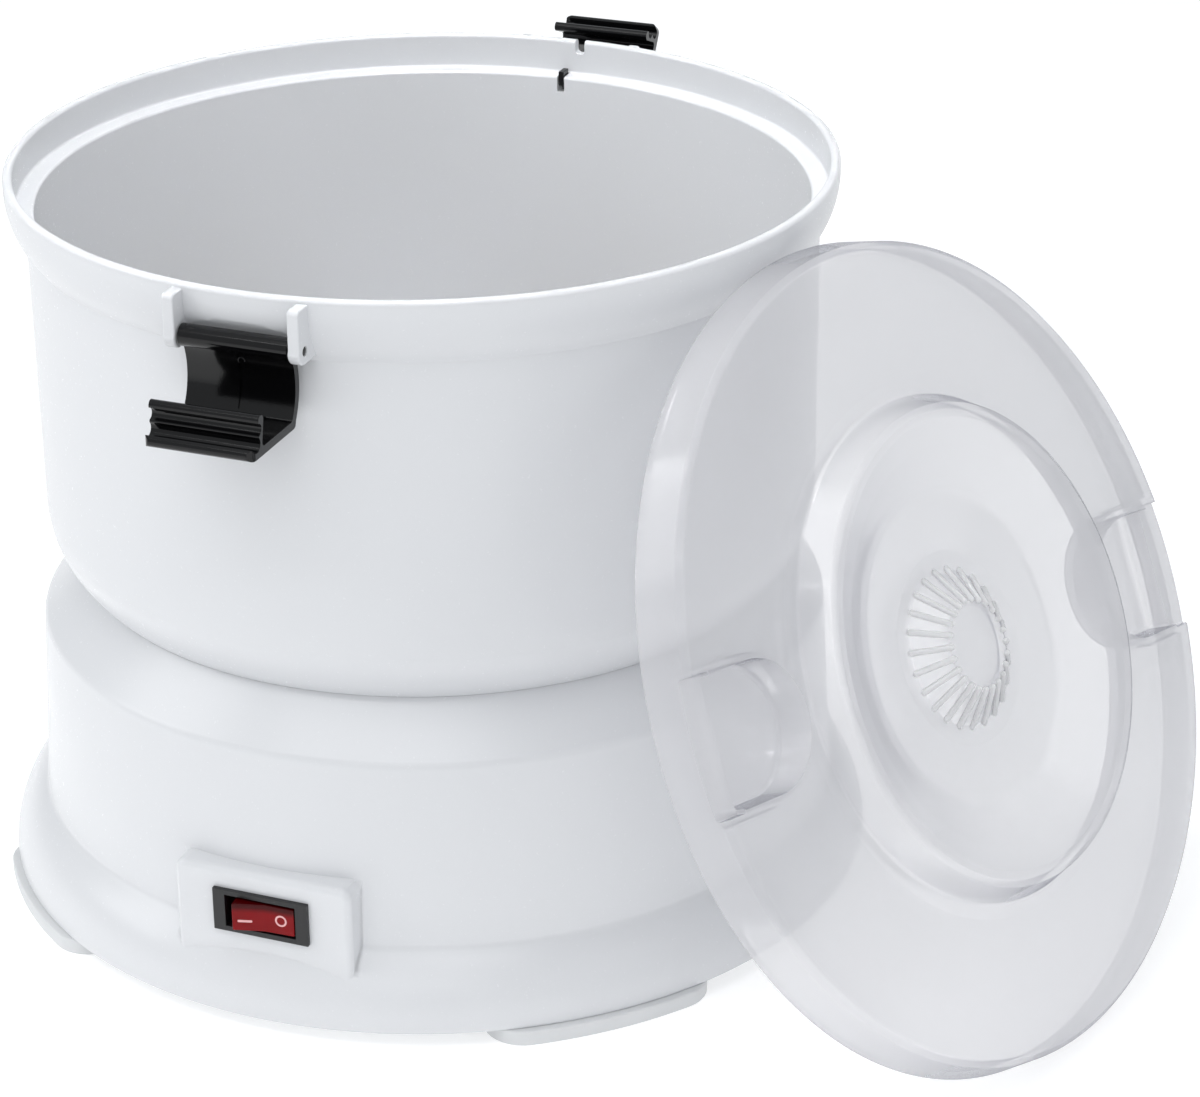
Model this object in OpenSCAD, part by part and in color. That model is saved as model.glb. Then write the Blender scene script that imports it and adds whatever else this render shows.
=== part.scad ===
// Electric potato peeler: a tub with an abrasive disc on a geared motor base, two flip latches and a clear lid.
// Millimetres. +Z is up, the table is z = 0, the tub's axis is the Z axis and the switch faces -Y.

/* [Tub] */
// Height of the rim above the table
rim_z = 229; // [215:1:245]
// Outer radius of the tub's wall
tub_r = 119.5; // [118:0.1:120.5]
// How far the rim stands out of the tub's wall
rim_out = 5.9; // [5:0.1:7]
// Thickness of the upright lip on the rim
rim_lip = 3; // [2:0.1:3.4]
// Depth of the lid's seat below the rim's top
seat_depth = 11; // [9:0.5:13]
// Thickness of the tub's wall
tub_wall = 2.8; // [2:0.1:3.2]
// Radius of the flare under the rim, in section
flare_round = 27; // [20:1:32]
// Height of the straight band above the flare
rim_band = 3; // [1:0.5:5]
// Radius of the tub's lower corner, in section
tub_round = 33.3; // [30:0.1:36]
// Height at which the wall turns into the lower corner
tub_corner_z = 126; // [123:0.5:128]
// Thickness of the tub's floor
tub_floor = 2.8; // [2:0.1:3.2]

/* [Base] */
// Height of the joint line between the base and the tub
seam_z = 101; // [99:0.5:103]
// How far the base's shoulder stands out of the tub's wall
shoulder_out = 3.4; // [1:0.1:5]
// Height of the base's shoulder
shoulder_z = 86; // [82:0.5:90]
// How far the base's wall widens from its shoulder to its foot
base_flare = 2.9; // [1:0.1:5]
// Height of the skirt's top
skirt_z = 27.5; // [24:0.5:31]
// How far the skirt's lower edge stands out of the base's wall
skirt_out = 11.4; // [8:0.1:15]
// Radius of the skirt's bulge, in section
skirt_round = 29.1; // [28:0.1:34]
// Thickness of the base's wall
base_wall = 2.8; // [2:0.1:3.2]
// Thickness of the bottom cover
cover_t = 2.5; // [2:0.1:4]

/* [Feet] */
// Height of a foot
foot_h = 4.8; // [4:0.1:7]
// How far a foot stands out of the skirt
foot_proud = 2.4; // [1:0.1:3]
// Radial depth of a foot
foot_depth = 24; // [14:1:28]
// Arc that a foot covers, in degrees
foot_arc = 26; // [18:1:32]

/* [Switch] */
// How far the switch pad's face stands out of the base's wall
pad_out = 4; // [3.5:0.1:6]
// Half width of the switch pad
pad_half_w = 28.4; // [24:0.1:34]
// Height of the switch pad's top edge
pad_top = 49.3; // [47:0.1:58]
// Width of the switch bezel
bezel_w = 30.6; // [29:0.1:33]
// Height of the switch bezel
bezel_h = 13.8; // [13:0.1:16]
// Height of the switch's centre
switch_z = 36.1; // [34:0.1:40]
// Length of the rocker's face
rocker_w = 19; // [17:0.1:20]
// Tilt of the rocker to each side, in degrees
rocker_tilt = 8.5; // [5:0.5:9]

/* [Latches] */
// How far the latch's hinge line lies outside the rim
pin_out = 1; // [0.8:0.1:2]
// Depth of the latch's hinge line below the rim's top
pin_drop = 14; // [13.5:0.1:15]
// Width of a latch
latch_w = 33; // [26:0.5:40]
// Radius of a latch's barrel
barrel_r = 3.2; // [2.8:0.1:3.4]
// Radius of a hinge pin
pin_r = 1.2; // [0.9:0.1:1.4]
// Length of a latch's plate, from its hinge line to its hook
latch_l = 20.7; // [20:0.1:24]
// How far the latch's plate bows
latch_bow = 3; // [2:0.1:3.4]
// Thickness of a latch's walls
latch_t = 2.3; // [1.8:0.1:2.6]
// Reach of a latch's hook, inside its lip
hook_l = 22.2; // [19:0.2:25]
// Height of the hook's lip
hook_h = 9.3; // [7:0.1:11]
// Thickness of a hinge ear
ear_t = 3.5; // [2.5:0.1:4.5]
// Angle by which the rear latch is lifted from hanging, in degrees
rear_lift = 58; // [40:1:80]

/* [Lid] */
// Gap between the lid's edge and the rim's lip
lid_play = 0.6; // [0.4:0.1:1.2]
// Height of the lid's flange
flange_h = 14; // [12:0.5:15]
// Taper of the flange
flange_taper = 2.6; // [1:0.1:4]
// Thickness of the lid
lid_t = 2.2; // [1.6:0.1:2.6]
// How far the raised ring lies inside the lid's edge
ring_in = 54.1; // [52:0.1:60]
// Height of the raised ring over the lid's outer face
ring_h = 11; // [8:0.5:13]
// Radius of the fluted grip at its foot
grip_r = 22.4; // [18:0.2:26]
// Height of the fluted grip
grip_h = 6.5; // [5:0.1:9]
// Number of flutes on the grip
flutes = 24; // [12:1:30]
// Width of a latch pocket
pocket_w = 39; // [36:0.5:44]
// Depth of a latch pocket
pocket_d = 10; // [8.5:0.5:11]
// Height of the rim above the leaning lid's upper edge
lid_drop = 8.8; // [4:0.1:20]
// Direction in which the lid stands beside the tub, in degrees from +X
lid_bearing = -15.2; // [-30:0.1:20]
// How far the lid stands to one side of the point where it leans
lid_slide = 5; // [0:0.5:8]
// Turn of the lid in its own plane, in degrees
lid_roll = -8.2; // [-30:0.1:30]

/* [Peeling disc] */
// Gap between the disc's edge and the tub's wall
disc_gap = 6.7; // [5.7:0.1:20]
// Thickness of the disc
disc_t = 3; // [2:0.1:4]
// Height of the disc's underside over the tub's floor
disc_lift = 8; // [7:0.2:9]
// Height of the disc's ridges
ridge_h = 6; // [3:0.5:9]
// Thickness of the grit layer
grit_t = 0.8; // [0.4:0.1:1.2]

/* [Drive] */
// Radius of the spindle
spindle_r = 6; // [5:0.1:7]
// Pitch radius of the drive wheel
wheel_r = 45; // [42:0.5:48]
// Teeth of the drive wheel
wheel_teeth = 60; // [54:2:62]
// Teeth of the small idler gear
small_teeth = 14; // [13:1:15]
// Pitch radius of the large idler gear
large_r = 25; // [23:0.5:27]
// Teeth of the large idler gear
large_teeth = 50; // [46:2:52]
// Teeth of the motor pinion
pinion_teeth = 12; // [11:1:14]
// Radius of the motor
motor_r = 30; // [24:0.5:32]
// Length of the motor
motor_l = 36; // [30:0.5:38]
// Radius of the motor's shaft
shaft_r = 2.5; // [2:0.1:3]

/* [Safety switch] */
// Side offset of the interlock rod from the middle of the rear
rod_x = -2.5; // [-4:0.1:0]
// Width of the interlock rod
rod_w = 7; // [5:0.2:9]
// Travel of the interlock rod
rod_travel = 1.6; // [1:0.1:2.4]

/* [Fits] */
// Running clearance of a shaft in its bearing
run_gap = 0.05; // [0.02:0.01:0.08]
// Gap between pieces that move past each other
move_gap = 0.3; // [0.3:0.05:0.5]
// Gap between pieces that are fixed together
seat_gap = 0.05; // [0.03:0.01:0.1]
// Angle by which the tub turns to unlock, in degrees
unlock_turn = 12; // [9:1:14]

/* [Hidden] */
$fn = 96;
eps = 0.01;

// How far a cut runs past the material
past = 40;

// Tub
tub_in_r = tub_r - tub_wall;
rim_r = tub_r + rim_out;
lip_r = rim_r - rim_lip;
seat_z = rim_z - seat_depth;
flare_z = rim_z - rim_band;
flare_c = rim_r - flare_round;
flare_low = flare_z - sqrt(pow(flare_round, 2) - pow(tub_r - flare_c, 2));
corner_c = tub_r - tub_round;
tub_seam_z = seam_z + move_gap;
seam_r = corner_c + sqrt(pow(tub_round, 2) - pow(tub_corner_z - seam_z, 2));
floor_z = seam_z + 2;
floor_top = floor_z + tub_floor;
seam_land = 4.8;
arc_steps = 8;

// Base
shoulder_r = tub_r + shoulder_out;
base_r = shoulder_r + base_flare;
skirt_r = base_r + skirt_out;
wall_lean = atan((base_r - shoulder_r) / (shoulder_z - skirt_z));
well_r = seam_r - seam_land;
deck_z = seam_z - 4.5;
deck_low = deck_z - base_wall;
base_low = foot_h;
skirt_c = skirt_r - skirt_round;
skirt_in_r = skirt_r - base_wall;
skirt_foot_z = 4.1;
skirt_hem = 1.2;
skirt_low_a = asin((base_low + skirt_hem - skirt_foot_z) / skirt_round);
boss_r = 5;
boss_ring_r = base_r - base_wall - boss_r - 10;
boss_turn = 22.5;
cover_top = base_low + cover_t;
cover_r = skirt_in_r - move_gap;
cover_slot_w = 3;
cover_slot_l = 34;
cover_slot_gap = 7;

// Screws
screw_r = 1.5;
screw_head_r = 3.2;
screw_head_h = 1.8;
screw_l = 14;

// Switch
pad_y = base_r + pad_out;
pad_low = skirt_z - 11;
pad_corner = 4;
pad_depth = 22;
bezel_t = 1.4;
switch_wall = 0.9;
switch_lip = 1.8;
switch_lip_h = 0.8;
switch_hole_w = bezel_w - 2 * switch_lip;
switch_hole_h = bezel_h - 2 * switch_lip_h;
switch_depth = 20;
tab_w = 4.8;
tab_l = 8;
tab_t = 0.8;
tab_gap = 8;
rocker_pivot = 8.2;
rocker_face = 11.2;
rocker_back = 3;
rocker_room = 2;
rocker_dip = 1.2;
rocker_pin_r = 1.5;
rocker_h = switch_hole_h - 2 * switch_wall - 2 * move_gap;
rocker_slope = 0.5;
rocker_pin_l = rocker_h + 2 * move_gap + 1.2;
rocker_y = -pad_y + rocker_pivot;

// Bearings in the middle of the base and the tub
tower_r = 16;
tower_top = floor_z + 5;
bush_r = spindle_r + 3.5;
seal_r = tower_r + 1;
tub_hole_r = seal_r + move_gap;
upstand_t = 2.7;
upstand_top = floor_top + 5.5;

// Gear train
plate_z = 58;
plate_t = 3;
plate_top = plate_z + plate_t;
wheel_module = 2 * wheel_r / wheel_teeth;
motor_module = 2 * large_r / large_teeth;
idler_y = wheel_r + wheel_module * small_teeth / 2;
motor_x = -large_r - motor_module * pinion_teeth / 2;
large_z = plate_top + 3;
large_h = 8;
small_h = 14;
wheel_z = large_z + large_h + 3;
wheel_h = 10;
pinion_z = plate_top + 2;
pinion_h = 10;
idler_pin_r = 3;
spindle_low = plate_z - 8;
plate_x1 = -68;
plate_x2 = 58;
plate_y1 = -50;
plate_y2 = 88;
plate_inset = 8;
motor_low = plate_z - motor_l;
motor_wall = 2.5;
magnet_t = 6;
rotor_r = motor_r - motor_wall - magnet_t;
rotor_end = 7;
rotor_slot_w = 2;
rotor_slot_l = 8;
vent_w = 12;
vent_t = 7;
motor_screw_x = 12;
fan_r = motor_r - 3;
fan_h = 8;
fan_z = cover_top + 2.5;

// Disc
disc_r = tub_in_r - disc_gap;
disc_z = floor_top + disc_lift;
disc_top = disc_z + disc_t;
ridge_count = 3;
ridge_r1 = 30;
ridge_r2 = disc_r - 6;
ridge_half_w = 9;
hub_r = 24;
hub_wall = 2.5;
nut_r = 13;
nut_h = 11;
spindle_top = disc_top + 8;
disc_hub_h = 4.4;
drive_pin_r = 1.6;
drive_pin_out = 5;
drive_pin_z = disc_z - 2.6;

// Latches
pin_y = rim_r + pin_out;
pin_z = rim_z - pin_drop;
ear_in = latch_w / 2 + 0.6;
ear_out = ear_in + ear_t;
ear_nose = 3.9;
apron_z = rim_z - 8.5;
recess_z = pin_z - 7;
undercut_z = pin_z - 3.5;
ridge_bead = 1.3;
bead_places = [0.06, 0.52, 0.96];
latch_face = 1.4;

// Safety switch
blade_t = 2.2;
blade_y = tub_r + 1;
blade_top = undercut_z - 1;
nib_w = 1.8;
slot_w = nib_w + 0.7;
slot_z = seat_z - 5.2;
nib_rise = rod_travel;
nib_y1 = tub_in_r + 0.4;
nib_y2 = lip_r - 0.8;
pocket_floor = seam_z - 10.5;
pocket_r = seam_r + 1.3;
rod_foot_z = pocket_floor + rod_travel + 0.7;
rod_foot_h = 2.8;
rod_foot_y = pocket_r + 2;
plunger_r = 1.6;
plunger_y = rod_foot_y + 2.2;
micro_x = 20;
micro_y = 6.4;
micro_z = 10.3;
duct_wall = 1.8;
duct_half = rod_w / 2 + 1 + duct_wall;
duct_y = blade_y + blade_t + 0.8 + duct_wall;
duct_z1 = seam_z + 2;
duct_z2 = recess_z - 1;
spring_z = 150;
spring_l = 18;
spring_wire = 0.35;
spring_r = 1.35;
spring_turns = 10;
window_w = 2 * (spring_r + spring_wire) + 0.8;
shelf_t = 2;
notch_x = 2.2;
notch_w = 3.3;
notch_d = 4.5;

// Lid
lid_r = lip_r - lid_play;
lid_lean = acos(min(0.985, (rim_z - lid_drop) / (2 * lid_r)));
ring_r = lid_r - ring_in;
pocket_far = ring_r + 6.3;
pocket_arc_y = pocket_far + pocket_w / 2;
bar_y = lid_r - 11.3;
bar_drop = 3;
lid_top_z = 2 * lid_r * cos(lid_lean);
lid_centre_d = flare_at(lid_top_z) + move_gap + lid_r * sin(lid_lean);

// Cord inlet
inlet_turn = 125;
inlet_z = 40;
inlet_r = 5;
inlet_bore = 3.6;
inlet_flange = 7.5;
inlet_inner = 6;
inlet_outer = 3;

// Radius of the tub's outside at a height near its rim
function flare_at(z) =
    z > flare_z ? rim_r : z < flare_low ? tub_r :
    flare_c + sqrt(pow(flare_round, 2) - pow(flare_z - z, 2));

// Radius of the base's wall at a height between the skirt and the shoulder
function wall_at(z) = base_r + (shoulder_r - base_r) * (z - skirt_z) / (shoulder_z - skirt_z);

// Points on an arc in section, from one angle to another
function arc(c, r, a1, a2) = [for (i = [0:arc_steps])
    let (a = a1 + (a2 - a1) * i / arc_steps) [c[0] + r * cos(a), c[1] + r * sin(a)]];

function reversed(v) = [for (i = [len(v) - 1:-1:0]) v[i]];
function unit(v) = v / norm(v);
function left_normal(a, b) = let (d = unit(b - a)) [-d[1], d[0]];

// The points of a path moved to its right by t, with mitred corners; a point on the axis stays there
function inset(path, t) = [for (i = [0:len(path) - 1])
    let (n1 = left_normal(path[max(i - 1, 0)], path[max(i, 1)]),
        n2 = left_normal(path[min(i, len(path) - 2)], path[min(i + 1, len(path) - 1)]),
        m = unit(n1 + n2))
    let (p = path[i] - m * t / max(m * n1, 0.5)) [path[i][0] == 0 ? 0 : p[0], p[1]]];

// A closed outline of even thickness to the right of a path
function shell(path, t) = concat(path, reversed(inset(path, t)));

// Outline of a gear with straight-sided teeth, one of them centred on +X
function gear(teeth, size) = let (r = teeth * size / 2, half = 90 / teeth - 6 * size / r)
    [for (i = [0:teeth - 1]) for (p = [[-1.5, -1.25], [-0.45, 0.8], [0.45, 0.8], [1.5, -1.25]])
        let (a = 360 * i / teeth + p[0] * half, q = r + p[1] * size) [q * cos(a), q * sin(a)]];

// Base housing -------------------------------------------------------------

// Outside of the base in section, from the tower to the skirt's lower edge
base_path = concat(
    [[tower_r - 1, deck_z], [well_r, deck_z], [well_r, seam_z], [seam_r, seam_z],
        [shoulder_r, shoulder_z], [wall_at(skirt_z + 1), skirt_z + 1]],
    arc([skirt_c, skirt_foot_z], skirt_round, asin((skirt_z - skirt_foot_z) / skirt_round),
        skirt_low_a),
    [[skirt_c + skirt_round * cos(skirt_low_a), base_low]]);

module base_solid() {
    rotate_extrude()
        polygon(concat([[0, base_low], [0, deck_z]], base_path));
}

// The flat raised pad that carries the switch
module pad_solid() {
    translate([0, -pad_y + pad_depth, 0])
        rotate([90, 0, 0])
            linear_extrude(pad_depth)
                union() {
                    translate([-pad_half_w, pad_low])
                        square([2 * pad_half_w, pad_top - pad_corner - pad_low]);
                    translate([-pad_half_w + pad_corner, pad_low])
                        square([2 * (pad_half_w - pad_corner), pad_top - pad_low]);
                    for (s = [-1, 1])
                        translate([s * (pad_half_w - pad_corner), pad_top - pad_corner])
                            circle(r = pad_corner);
                }
}

module cover_bosses(r, z1, z2) {
    for (a = [0:90:270])
        rotate([0, 0, a + boss_turn])
            translate([boss_ring_r, 0, z1])
                cylinder(r = r, h = z2 - z1);
}

module plate_posts(r, z1, z2) {
    for (x = [plate_x1 + plate_inset, plate_x2 - plate_inset])
        for (y = [plate_y1 + plate_inset, plate_y2 - plate_inset])
            translate([x, y, z1])
                cylinder(r = r, h = z2 - z1, $fn = 32);
}

// Recess behind the shoulder in which the interlock rod's foot stands and swings
module foot_pocket(grow) {
    side = asin((rod_w / 2 + 1.5 + grow) / pocket_r);
    middle = 90 + asin(-rod_x / pocket_r);
    rotate([0, 0, middle - side])
        rotate_extrude(angle = unlock_turn + 2 * side)
            translate([pocket_r - grow, pocket_floor - grow])
                square(past);
}

module base_housing() {
    color("white")
        difference() {
            union() {
                rotate_extrude()
                    polygon(shell(base_path, base_wall));
                difference() {
                    pad_solid();
                    translate([0, 0, base_low - eps])
                        cylinder(r = base_r - base_wall, h = shoulder_z);
                    translate([-pad_half_w + base_wall, -pad_y + base_wall, 0])
                        cube([2 * (pad_half_w - base_wall), pad_depth, pad_top - base_wall]);
                }
                intersection() {
                    base_solid();
                    foot_pocket(base_wall);
                }
                cylinder(r = tower_r, h = tower_top);
                cover_bosses(boss_r, cover_top, deck_z - 2);
                plate_posts(boss_r, plate_top, deck_z - 1);
                translate([0, idler_y, wheel_z + small_h])
                    cylinder(r = idler_pin_r + 3, h = deck_z - 1 - wheel_z - small_h, $fn = 32);
                for (a = [0:120:240])
                    rotate([0, 0, a + 60])
                        rotate_extrude(angle = 10)
                            translate([well_r - 2.4, seam_z - 1.2])
                                square([2.5, 1.2]);
            }
            foot_pocket(0);
            cylinder(r = 40, h = wheel_z + wheel_h + 1.5);
            translate([0, 0, -1])
                cylinder(r = spindle_r + 1, h = seam_z + 20);
            translate([0, 0, wheel_z])
                cylinder(r = bush_r + seat_gap, h = tower_top);
            cover_bosses(screw_r + seat_gap, 0, cover_top + screw_l);
            plate_posts(screw_r + seat_gap, plate_z, plate_top + screw_l);
            translate([0, idler_y, 0])
                cylinder(r = idler_pin_r + seat_gap, h = deck_low + 1);
            translate([rod_x, plunger_y, shoulder_z - 20])
                cylinder(r = plunger_r + move_gap, h = 40);
            translate([-switch_hole_w / 2, -pad_y - 1, switch_z - switch_hole_h / 2])
                cube([switch_hole_w, past / 2, switch_hole_h]);
            at_inlet()
                translate([0, 0, -past / 4])
                    cylinder(r = inlet_r + seat_gap, h = past / 2);
        }
}

module bottom_cover() {
    color("gainsboro")
        difference() {
            translate([0, 0, base_low])
                cylinder(r = cover_r, h = cover_t);
            cover_bosses(screw_r + seat_gap, 0, cover_top + 1);
            for (i = [-4:4])
                translate([motor_x + i * cover_slot_gap, idler_y, base_low + cover_t / 2])
                    cube([cover_slot_w, cover_slot_l, 2 * cover_t], center = true);
        }
}

module feet() {
    end_r = foot_depth / 2;
    out_r = skirt_r + foot_proud;
    side = foot_arc / 2 - asin(end_r / out_r) / 2;
    color("lightgray")
        for (a = [45:90:315])
            rotate([0, 0, a])
                union() {
                    rotate([0, 0, -side])
                        rotate_extrude(angle = 2 * side)
                            translate([out_r - foot_depth, 0])
                                square([foot_depth, foot_h]);
                    for (s = [-1, 1])
                        rotate([0, 0, s * side])
                            translate([out_r - end_r, 0, 0])
                                cylinder(r = end_r, h = foot_h);
                }
}

// A screw that points up, with its head below z
module screw_up(z) {
    translate([0, 0, z - screw_head_h])
        cylinder(r = screw_head_r, h = screw_head_h, $fn = 32);
    translate([0, 0, z - eps])
        cylinder(r = screw_r, h = screw_l, $fn = 32);
}

module cover_screws() {
    color("silver")
        for (a = [0:90:270])
            rotate([0, 0, a + boss_turn])
                translate([boss_ring_r, 0, 0])
                    screw_up(base_low);
}

// Switch -------------------------------------------------------------------

module switch_body() {
    color("black")
        difference() {
            union() {
                translate([-bezel_w / 2, -pad_y - bezel_t, switch_z - bezel_h / 2])
                    cube([bezel_w, bezel_t, bezel_h]);
                translate([-switch_hole_w / 2 + seat_gap, -pad_y - eps,
                    switch_z - switch_hole_h / 2 + seat_gap])
                    cube([switch_hole_w - 2 * seat_gap, switch_depth,
                        switch_hole_h - 2 * seat_gap]);
                for (s = [-1:1])
                    translate([s * tab_gap - tab_w / 2, -pad_y + switch_depth - eps,
                        switch_z - tab_t / 2])
                        cube([tab_w, tab_l, tab_t]);
            }
            translate([-rocker_reach - move_gap, -pad_y - bezel_t - 1, switch_z - rocker_h / 2 - move_gap])
                cube([2 * (rocker_reach + move_gap),
                    bezel_t + 1 + rocker_pivot + rocker_back + rocker_room, rocker_h + 2 * move_gap]);
            translate([0, rocker_y, switch_z - switch_hole_h])
                cylinder(r = rocker_pin_r + run_gap, h = 2 * switch_hole_h, $fn = 32);
        }
}

// How far the rocker's face reaches to the side when that side is pressed in
rocker_reach = norm([rocker_w / 2, rocker_face]) * sin(atan2(rocker_w / 2, rocker_face) + rocker_tilt);

// The rocker on its hinge pin: a shallow V seen from above, with a narrower face seen from the side
module switch_rocker() {
    end_x = rocker_w / 2;
    color("firebrick")
        translate([0, rocker_y, switch_z])
            rotate([0, 0, rocker_tilt]) {
                intersection() {
                    translate([0, 0, -rocker_h / 2])
                        linear_extrude(rocker_h)
                            polygon([[-end_x, -rocker_face], [0, rocker_dip - rocker_face],
                                [end_x, -rocker_face], [end_x - 0.5, rocker_back],
                                [0.5 - end_x, rocker_back]]);
                    translate([-end_x, 0, 0])
                        rotate([90, 0, 90])
                            linear_extrude(rocker_w)
                                polygon([[-rocker_face, rocker_slope - rocker_h / 2],
                                    [rocker_back, -rocker_h / 2], [rocker_back, rocker_h / 2],
                                    [-rocker_face, rocker_h / 2 - rocker_slope]]);
                }
                translate([0, 0, -rocker_pin_l / 2])
                    cylinder(r = rocker_pin_r, h = rocker_pin_l, $fn = 32);
            }
}

// Cord inlet ---------------------------------------------------------------

// Places a child on the base's wall at the back, square to it
module at_inlet() {
    rotate([0, 0, inlet_turn])
        translate([wall_at(inlet_z), 0, inlet_z])
            rotate([0, 90 - wall_lean, 0])
                children();
}

module cord_inlet() {
    color("dimgray")
        at_inlet()
            rotate_extrude()
                polygon([[inlet_bore, -base_wall - inlet_inner], [inlet_r, -base_wall - inlet_inner],
                    [inlet_r, move_gap], [inlet_flange, move_gap], [inlet_flange, inlet_outer],
                    [inlet_bore, inlet_outer]]);
}

// Motor --------------------------------------------------------------------

module at_motor() {
    translate([motor_x, idler_y, 0])
        children();
}

module motor_case() {
    color("silver")
        at_motor()
            difference() {
                translate([0, 0, motor_low])
                    cylinder(r = motor_r, h = motor_l);
                translate([0, 0, motor_low + motor_wall])
                    cylinder(r = motor_r - motor_wall, h = motor_l - 2 * motor_wall);
                cylinder(r = shaft_r + run_gap, h = plate_top, $fn = 48);
                for (s = [-1, 1])
                    translate([s * motor_screw_x, 0, plate_z - 2 * motor_wall])
                        cylinder(r = screw_r + seat_gap, h = past / 2, $fn = 32);
                for (a = [0:45:315])
                    rotate([0, 0, a])
                        translate([motor_r, 0, motor_low + motor_l / 2])
                            cube([vent_w, vent_t, motor_l / 2], center = true);
            }
}

module motor_rotor() {
    color("darkgoldenrod")
        at_motor()
            difference() {
                translate([0, 0, motor_low + rotor_end])
                    cylinder(r = rotor_r, h = motor_l - 2 * rotor_end);
                cylinder(r = shaft_r, h = plate_z, $fn = 48);
                for (a = [0:30:330])
                    rotate([0, 0, a])
                        translate([rotor_r, 0, motor_low + motor_l / 2])
                            cube([rotor_slot_l, rotor_slot_w, motor_l], center = true);
            }
}

module motor_shaft() {
    color("silver")
        at_motor()
            translate([0, 0, fan_z])
                cylinder(r = shaft_r, h = pinion_z + pinion_h + 1 - fan_z, $fn = 48);
}

module motor_fan() {
    hub_out = 8;
    disc_z = fan_z + fan_h - 1.5;
    color("white")
        at_motor()
            difference() {
                union() {
                    translate([0, 0, fan_z])
                        cylinder(r = hub_out, h = fan_h + 1);
                    translate([0, 0, disc_z])
                        cylinder(r = fan_r, h = 1.5);
                    for (a = [20:40:340])
                        rotate([0, 0, a])
                            translate([hub_out - 1.5, -0.8, fan_z + 0.5])
                                cube([fan_r - hub_out - 1.5, 1.6, disc_z - fan_z]);
                }
                translate([0, 0, fan_z - 1])
                    cylinder(r = shaft_r, h = fan_h + 4, $fn = 48);
            }
}

module motor_pinion() {
    color("goldenrod")
        at_motor()
            translate([0, 0, pinion_z])
                difference() {
                    rotate([0, 0, 180 / pinion_teeth])
                        linear_extrude(pinion_h)
                            polygon(gear(pinion_teeth, motor_module));
                    translate([0, 0, -1])
                        cylinder(r = shaft_r, h = pinion_h + 2, $fn = 48);
                }
}

// A screw that points down, with its head on z
module screw_down(z, l) {
    translate([0, 0, z])
        cylinder(r = screw_head_r, h = screw_head_h, $fn = 32);
    translate([0, 0, z - l])
        cylinder(r = screw_r, h = l + eps, $fn = 32);
}

module motor_screws() {
    color("silver")
        at_motor()
            for (s = [-1, 1])
                translate([s * motor_screw_x, 0, 0])
                    screw_down(plate_top, plate_t + motor_wall + 1);
}

module gear_plate() {
    corner = 8;
    color("lightsteelblue")
        difference() {
            translate([0, 0, plate_z])
                linear_extrude(plate_t)
                    union() {
                        translate([plate_x1 + corner, plate_y1])
                            square([plate_x2 - plate_x1 - 2 * corner, plate_y2 - plate_y1]);
                        translate([plate_x1, plate_y1 + corner])
                            square([plate_x2 - plate_x1, plate_y2 - plate_y1 - 2 * corner]);
                        for (x = [plate_x1 + corner, plate_x2 - corner])
                            for (y = [plate_y1 + corner, plate_y2 - corner])
                                translate([x, y])
                                    circle(r = corner);
                    }
            cylinder(r = bush_r + seat_gap, h = plate_top + 1);
            translate([0, idler_y, 0])
                cylinder(r = idler_pin_r + seat_gap, h = plate_top + 1);
            at_motor() {
                cylinder(r = shaft_r + 1.5, h = plate_top + 1);
                for (s = [-1, 1])
                    translate([s * motor_screw_x, 0, 0])
                        cylinder(r = screw_r + seat_gap, h = plate_top + 1, $fn = 32);
            }
            plate_posts(screw_r + seat_gap, plate_z - 1, plate_top + 1);
        }
}

module plate_screws() {
    color("silver")
        for (x = [plate_x1 + plate_inset, plate_x2 - plate_inset])
            for (y = [plate_y1 + plate_inset, plate_y2 - plate_inset])
                translate([x, y, 0])
                    screw_up(plate_z);
}

// Gears and spindle --------------------------------------------------------

module idler_gear() {
    color("ivory")
        translate([0, idler_y, 0])
            difference() {
                union() {
                    translate([0, 0, large_z])
                        linear_extrude(large_h)
                            polygon(gear(large_teeth, motor_module));
                    translate([0, 0, large_z])
                        rotate([0, 0, small_teeth % 2 == 0 ? 90 - 180 / small_teeth : 90])
                            linear_extrude(wheel_z - large_z + small_h - move_gap)
                                polygon(gear(small_teeth, wheel_module));
                }
                cylinder(r = idler_pin_r + run_gap, h = seam_z, $fn = 48);
            }
}

module idler_pin() {
    color("silver")
        translate([0, idler_y, plate_z])
            cylinder(r = idler_pin_r, h = deck_low - plate_z, $fn = 48);
}

module drive_wheel() {
    color("ivory")
        difference() {
            union() {
                translate([0, 0, wheel_z])
                    rotate([0, 0, 90])
                        linear_extrude(wheel_h)
                            polygon(gear(wheel_teeth, wheel_module));
                translate([0, 0, plate_top + 4])
                    cylinder(r = spindle_r + 5, h = wheel_z + wheel_h - plate_top - 4);
            }
            cylinder(r = spindle_r, h = seam_z);
            for (a = [0:60:300])
                rotate([0, 0, a + 30])
                    translate([spindle_r + 18, 0, 0])
                        cylinder(r = 8, h = seam_z);
        }
}

module cross_bar(r, half) {
    translate([-half, 0, drive_pin_z])
        rotate([0, 90, 0])
            cylinder(r = r, h = 2 * half, $fn = 48);
}

module spindle() {
    color("silver")
        difference() {
            translate([0, 0, spindle_low])
                cylinder(r = spindle_r, h = spindle_top - spindle_low);
            cross_bar(drive_pin_r + seat_gap, spindle_r + 1);
        }
}

// A flanged bush with its flange at z, on the upper side
module bush(z1, z2, flange_z) {
    difference() {
        union() {
            translate([0, 0, z1])
                cylinder(r = bush_r, h = z2 - z1);
            translate([0, 0, flange_z])
                cylinder(r = bush_r + 2.5, h = 2);
        }
        translate([0, 0, z1 - 1])
            cylinder(r = spindle_r + run_gap, h = z2 - z1 + 2);
    }
}

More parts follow.
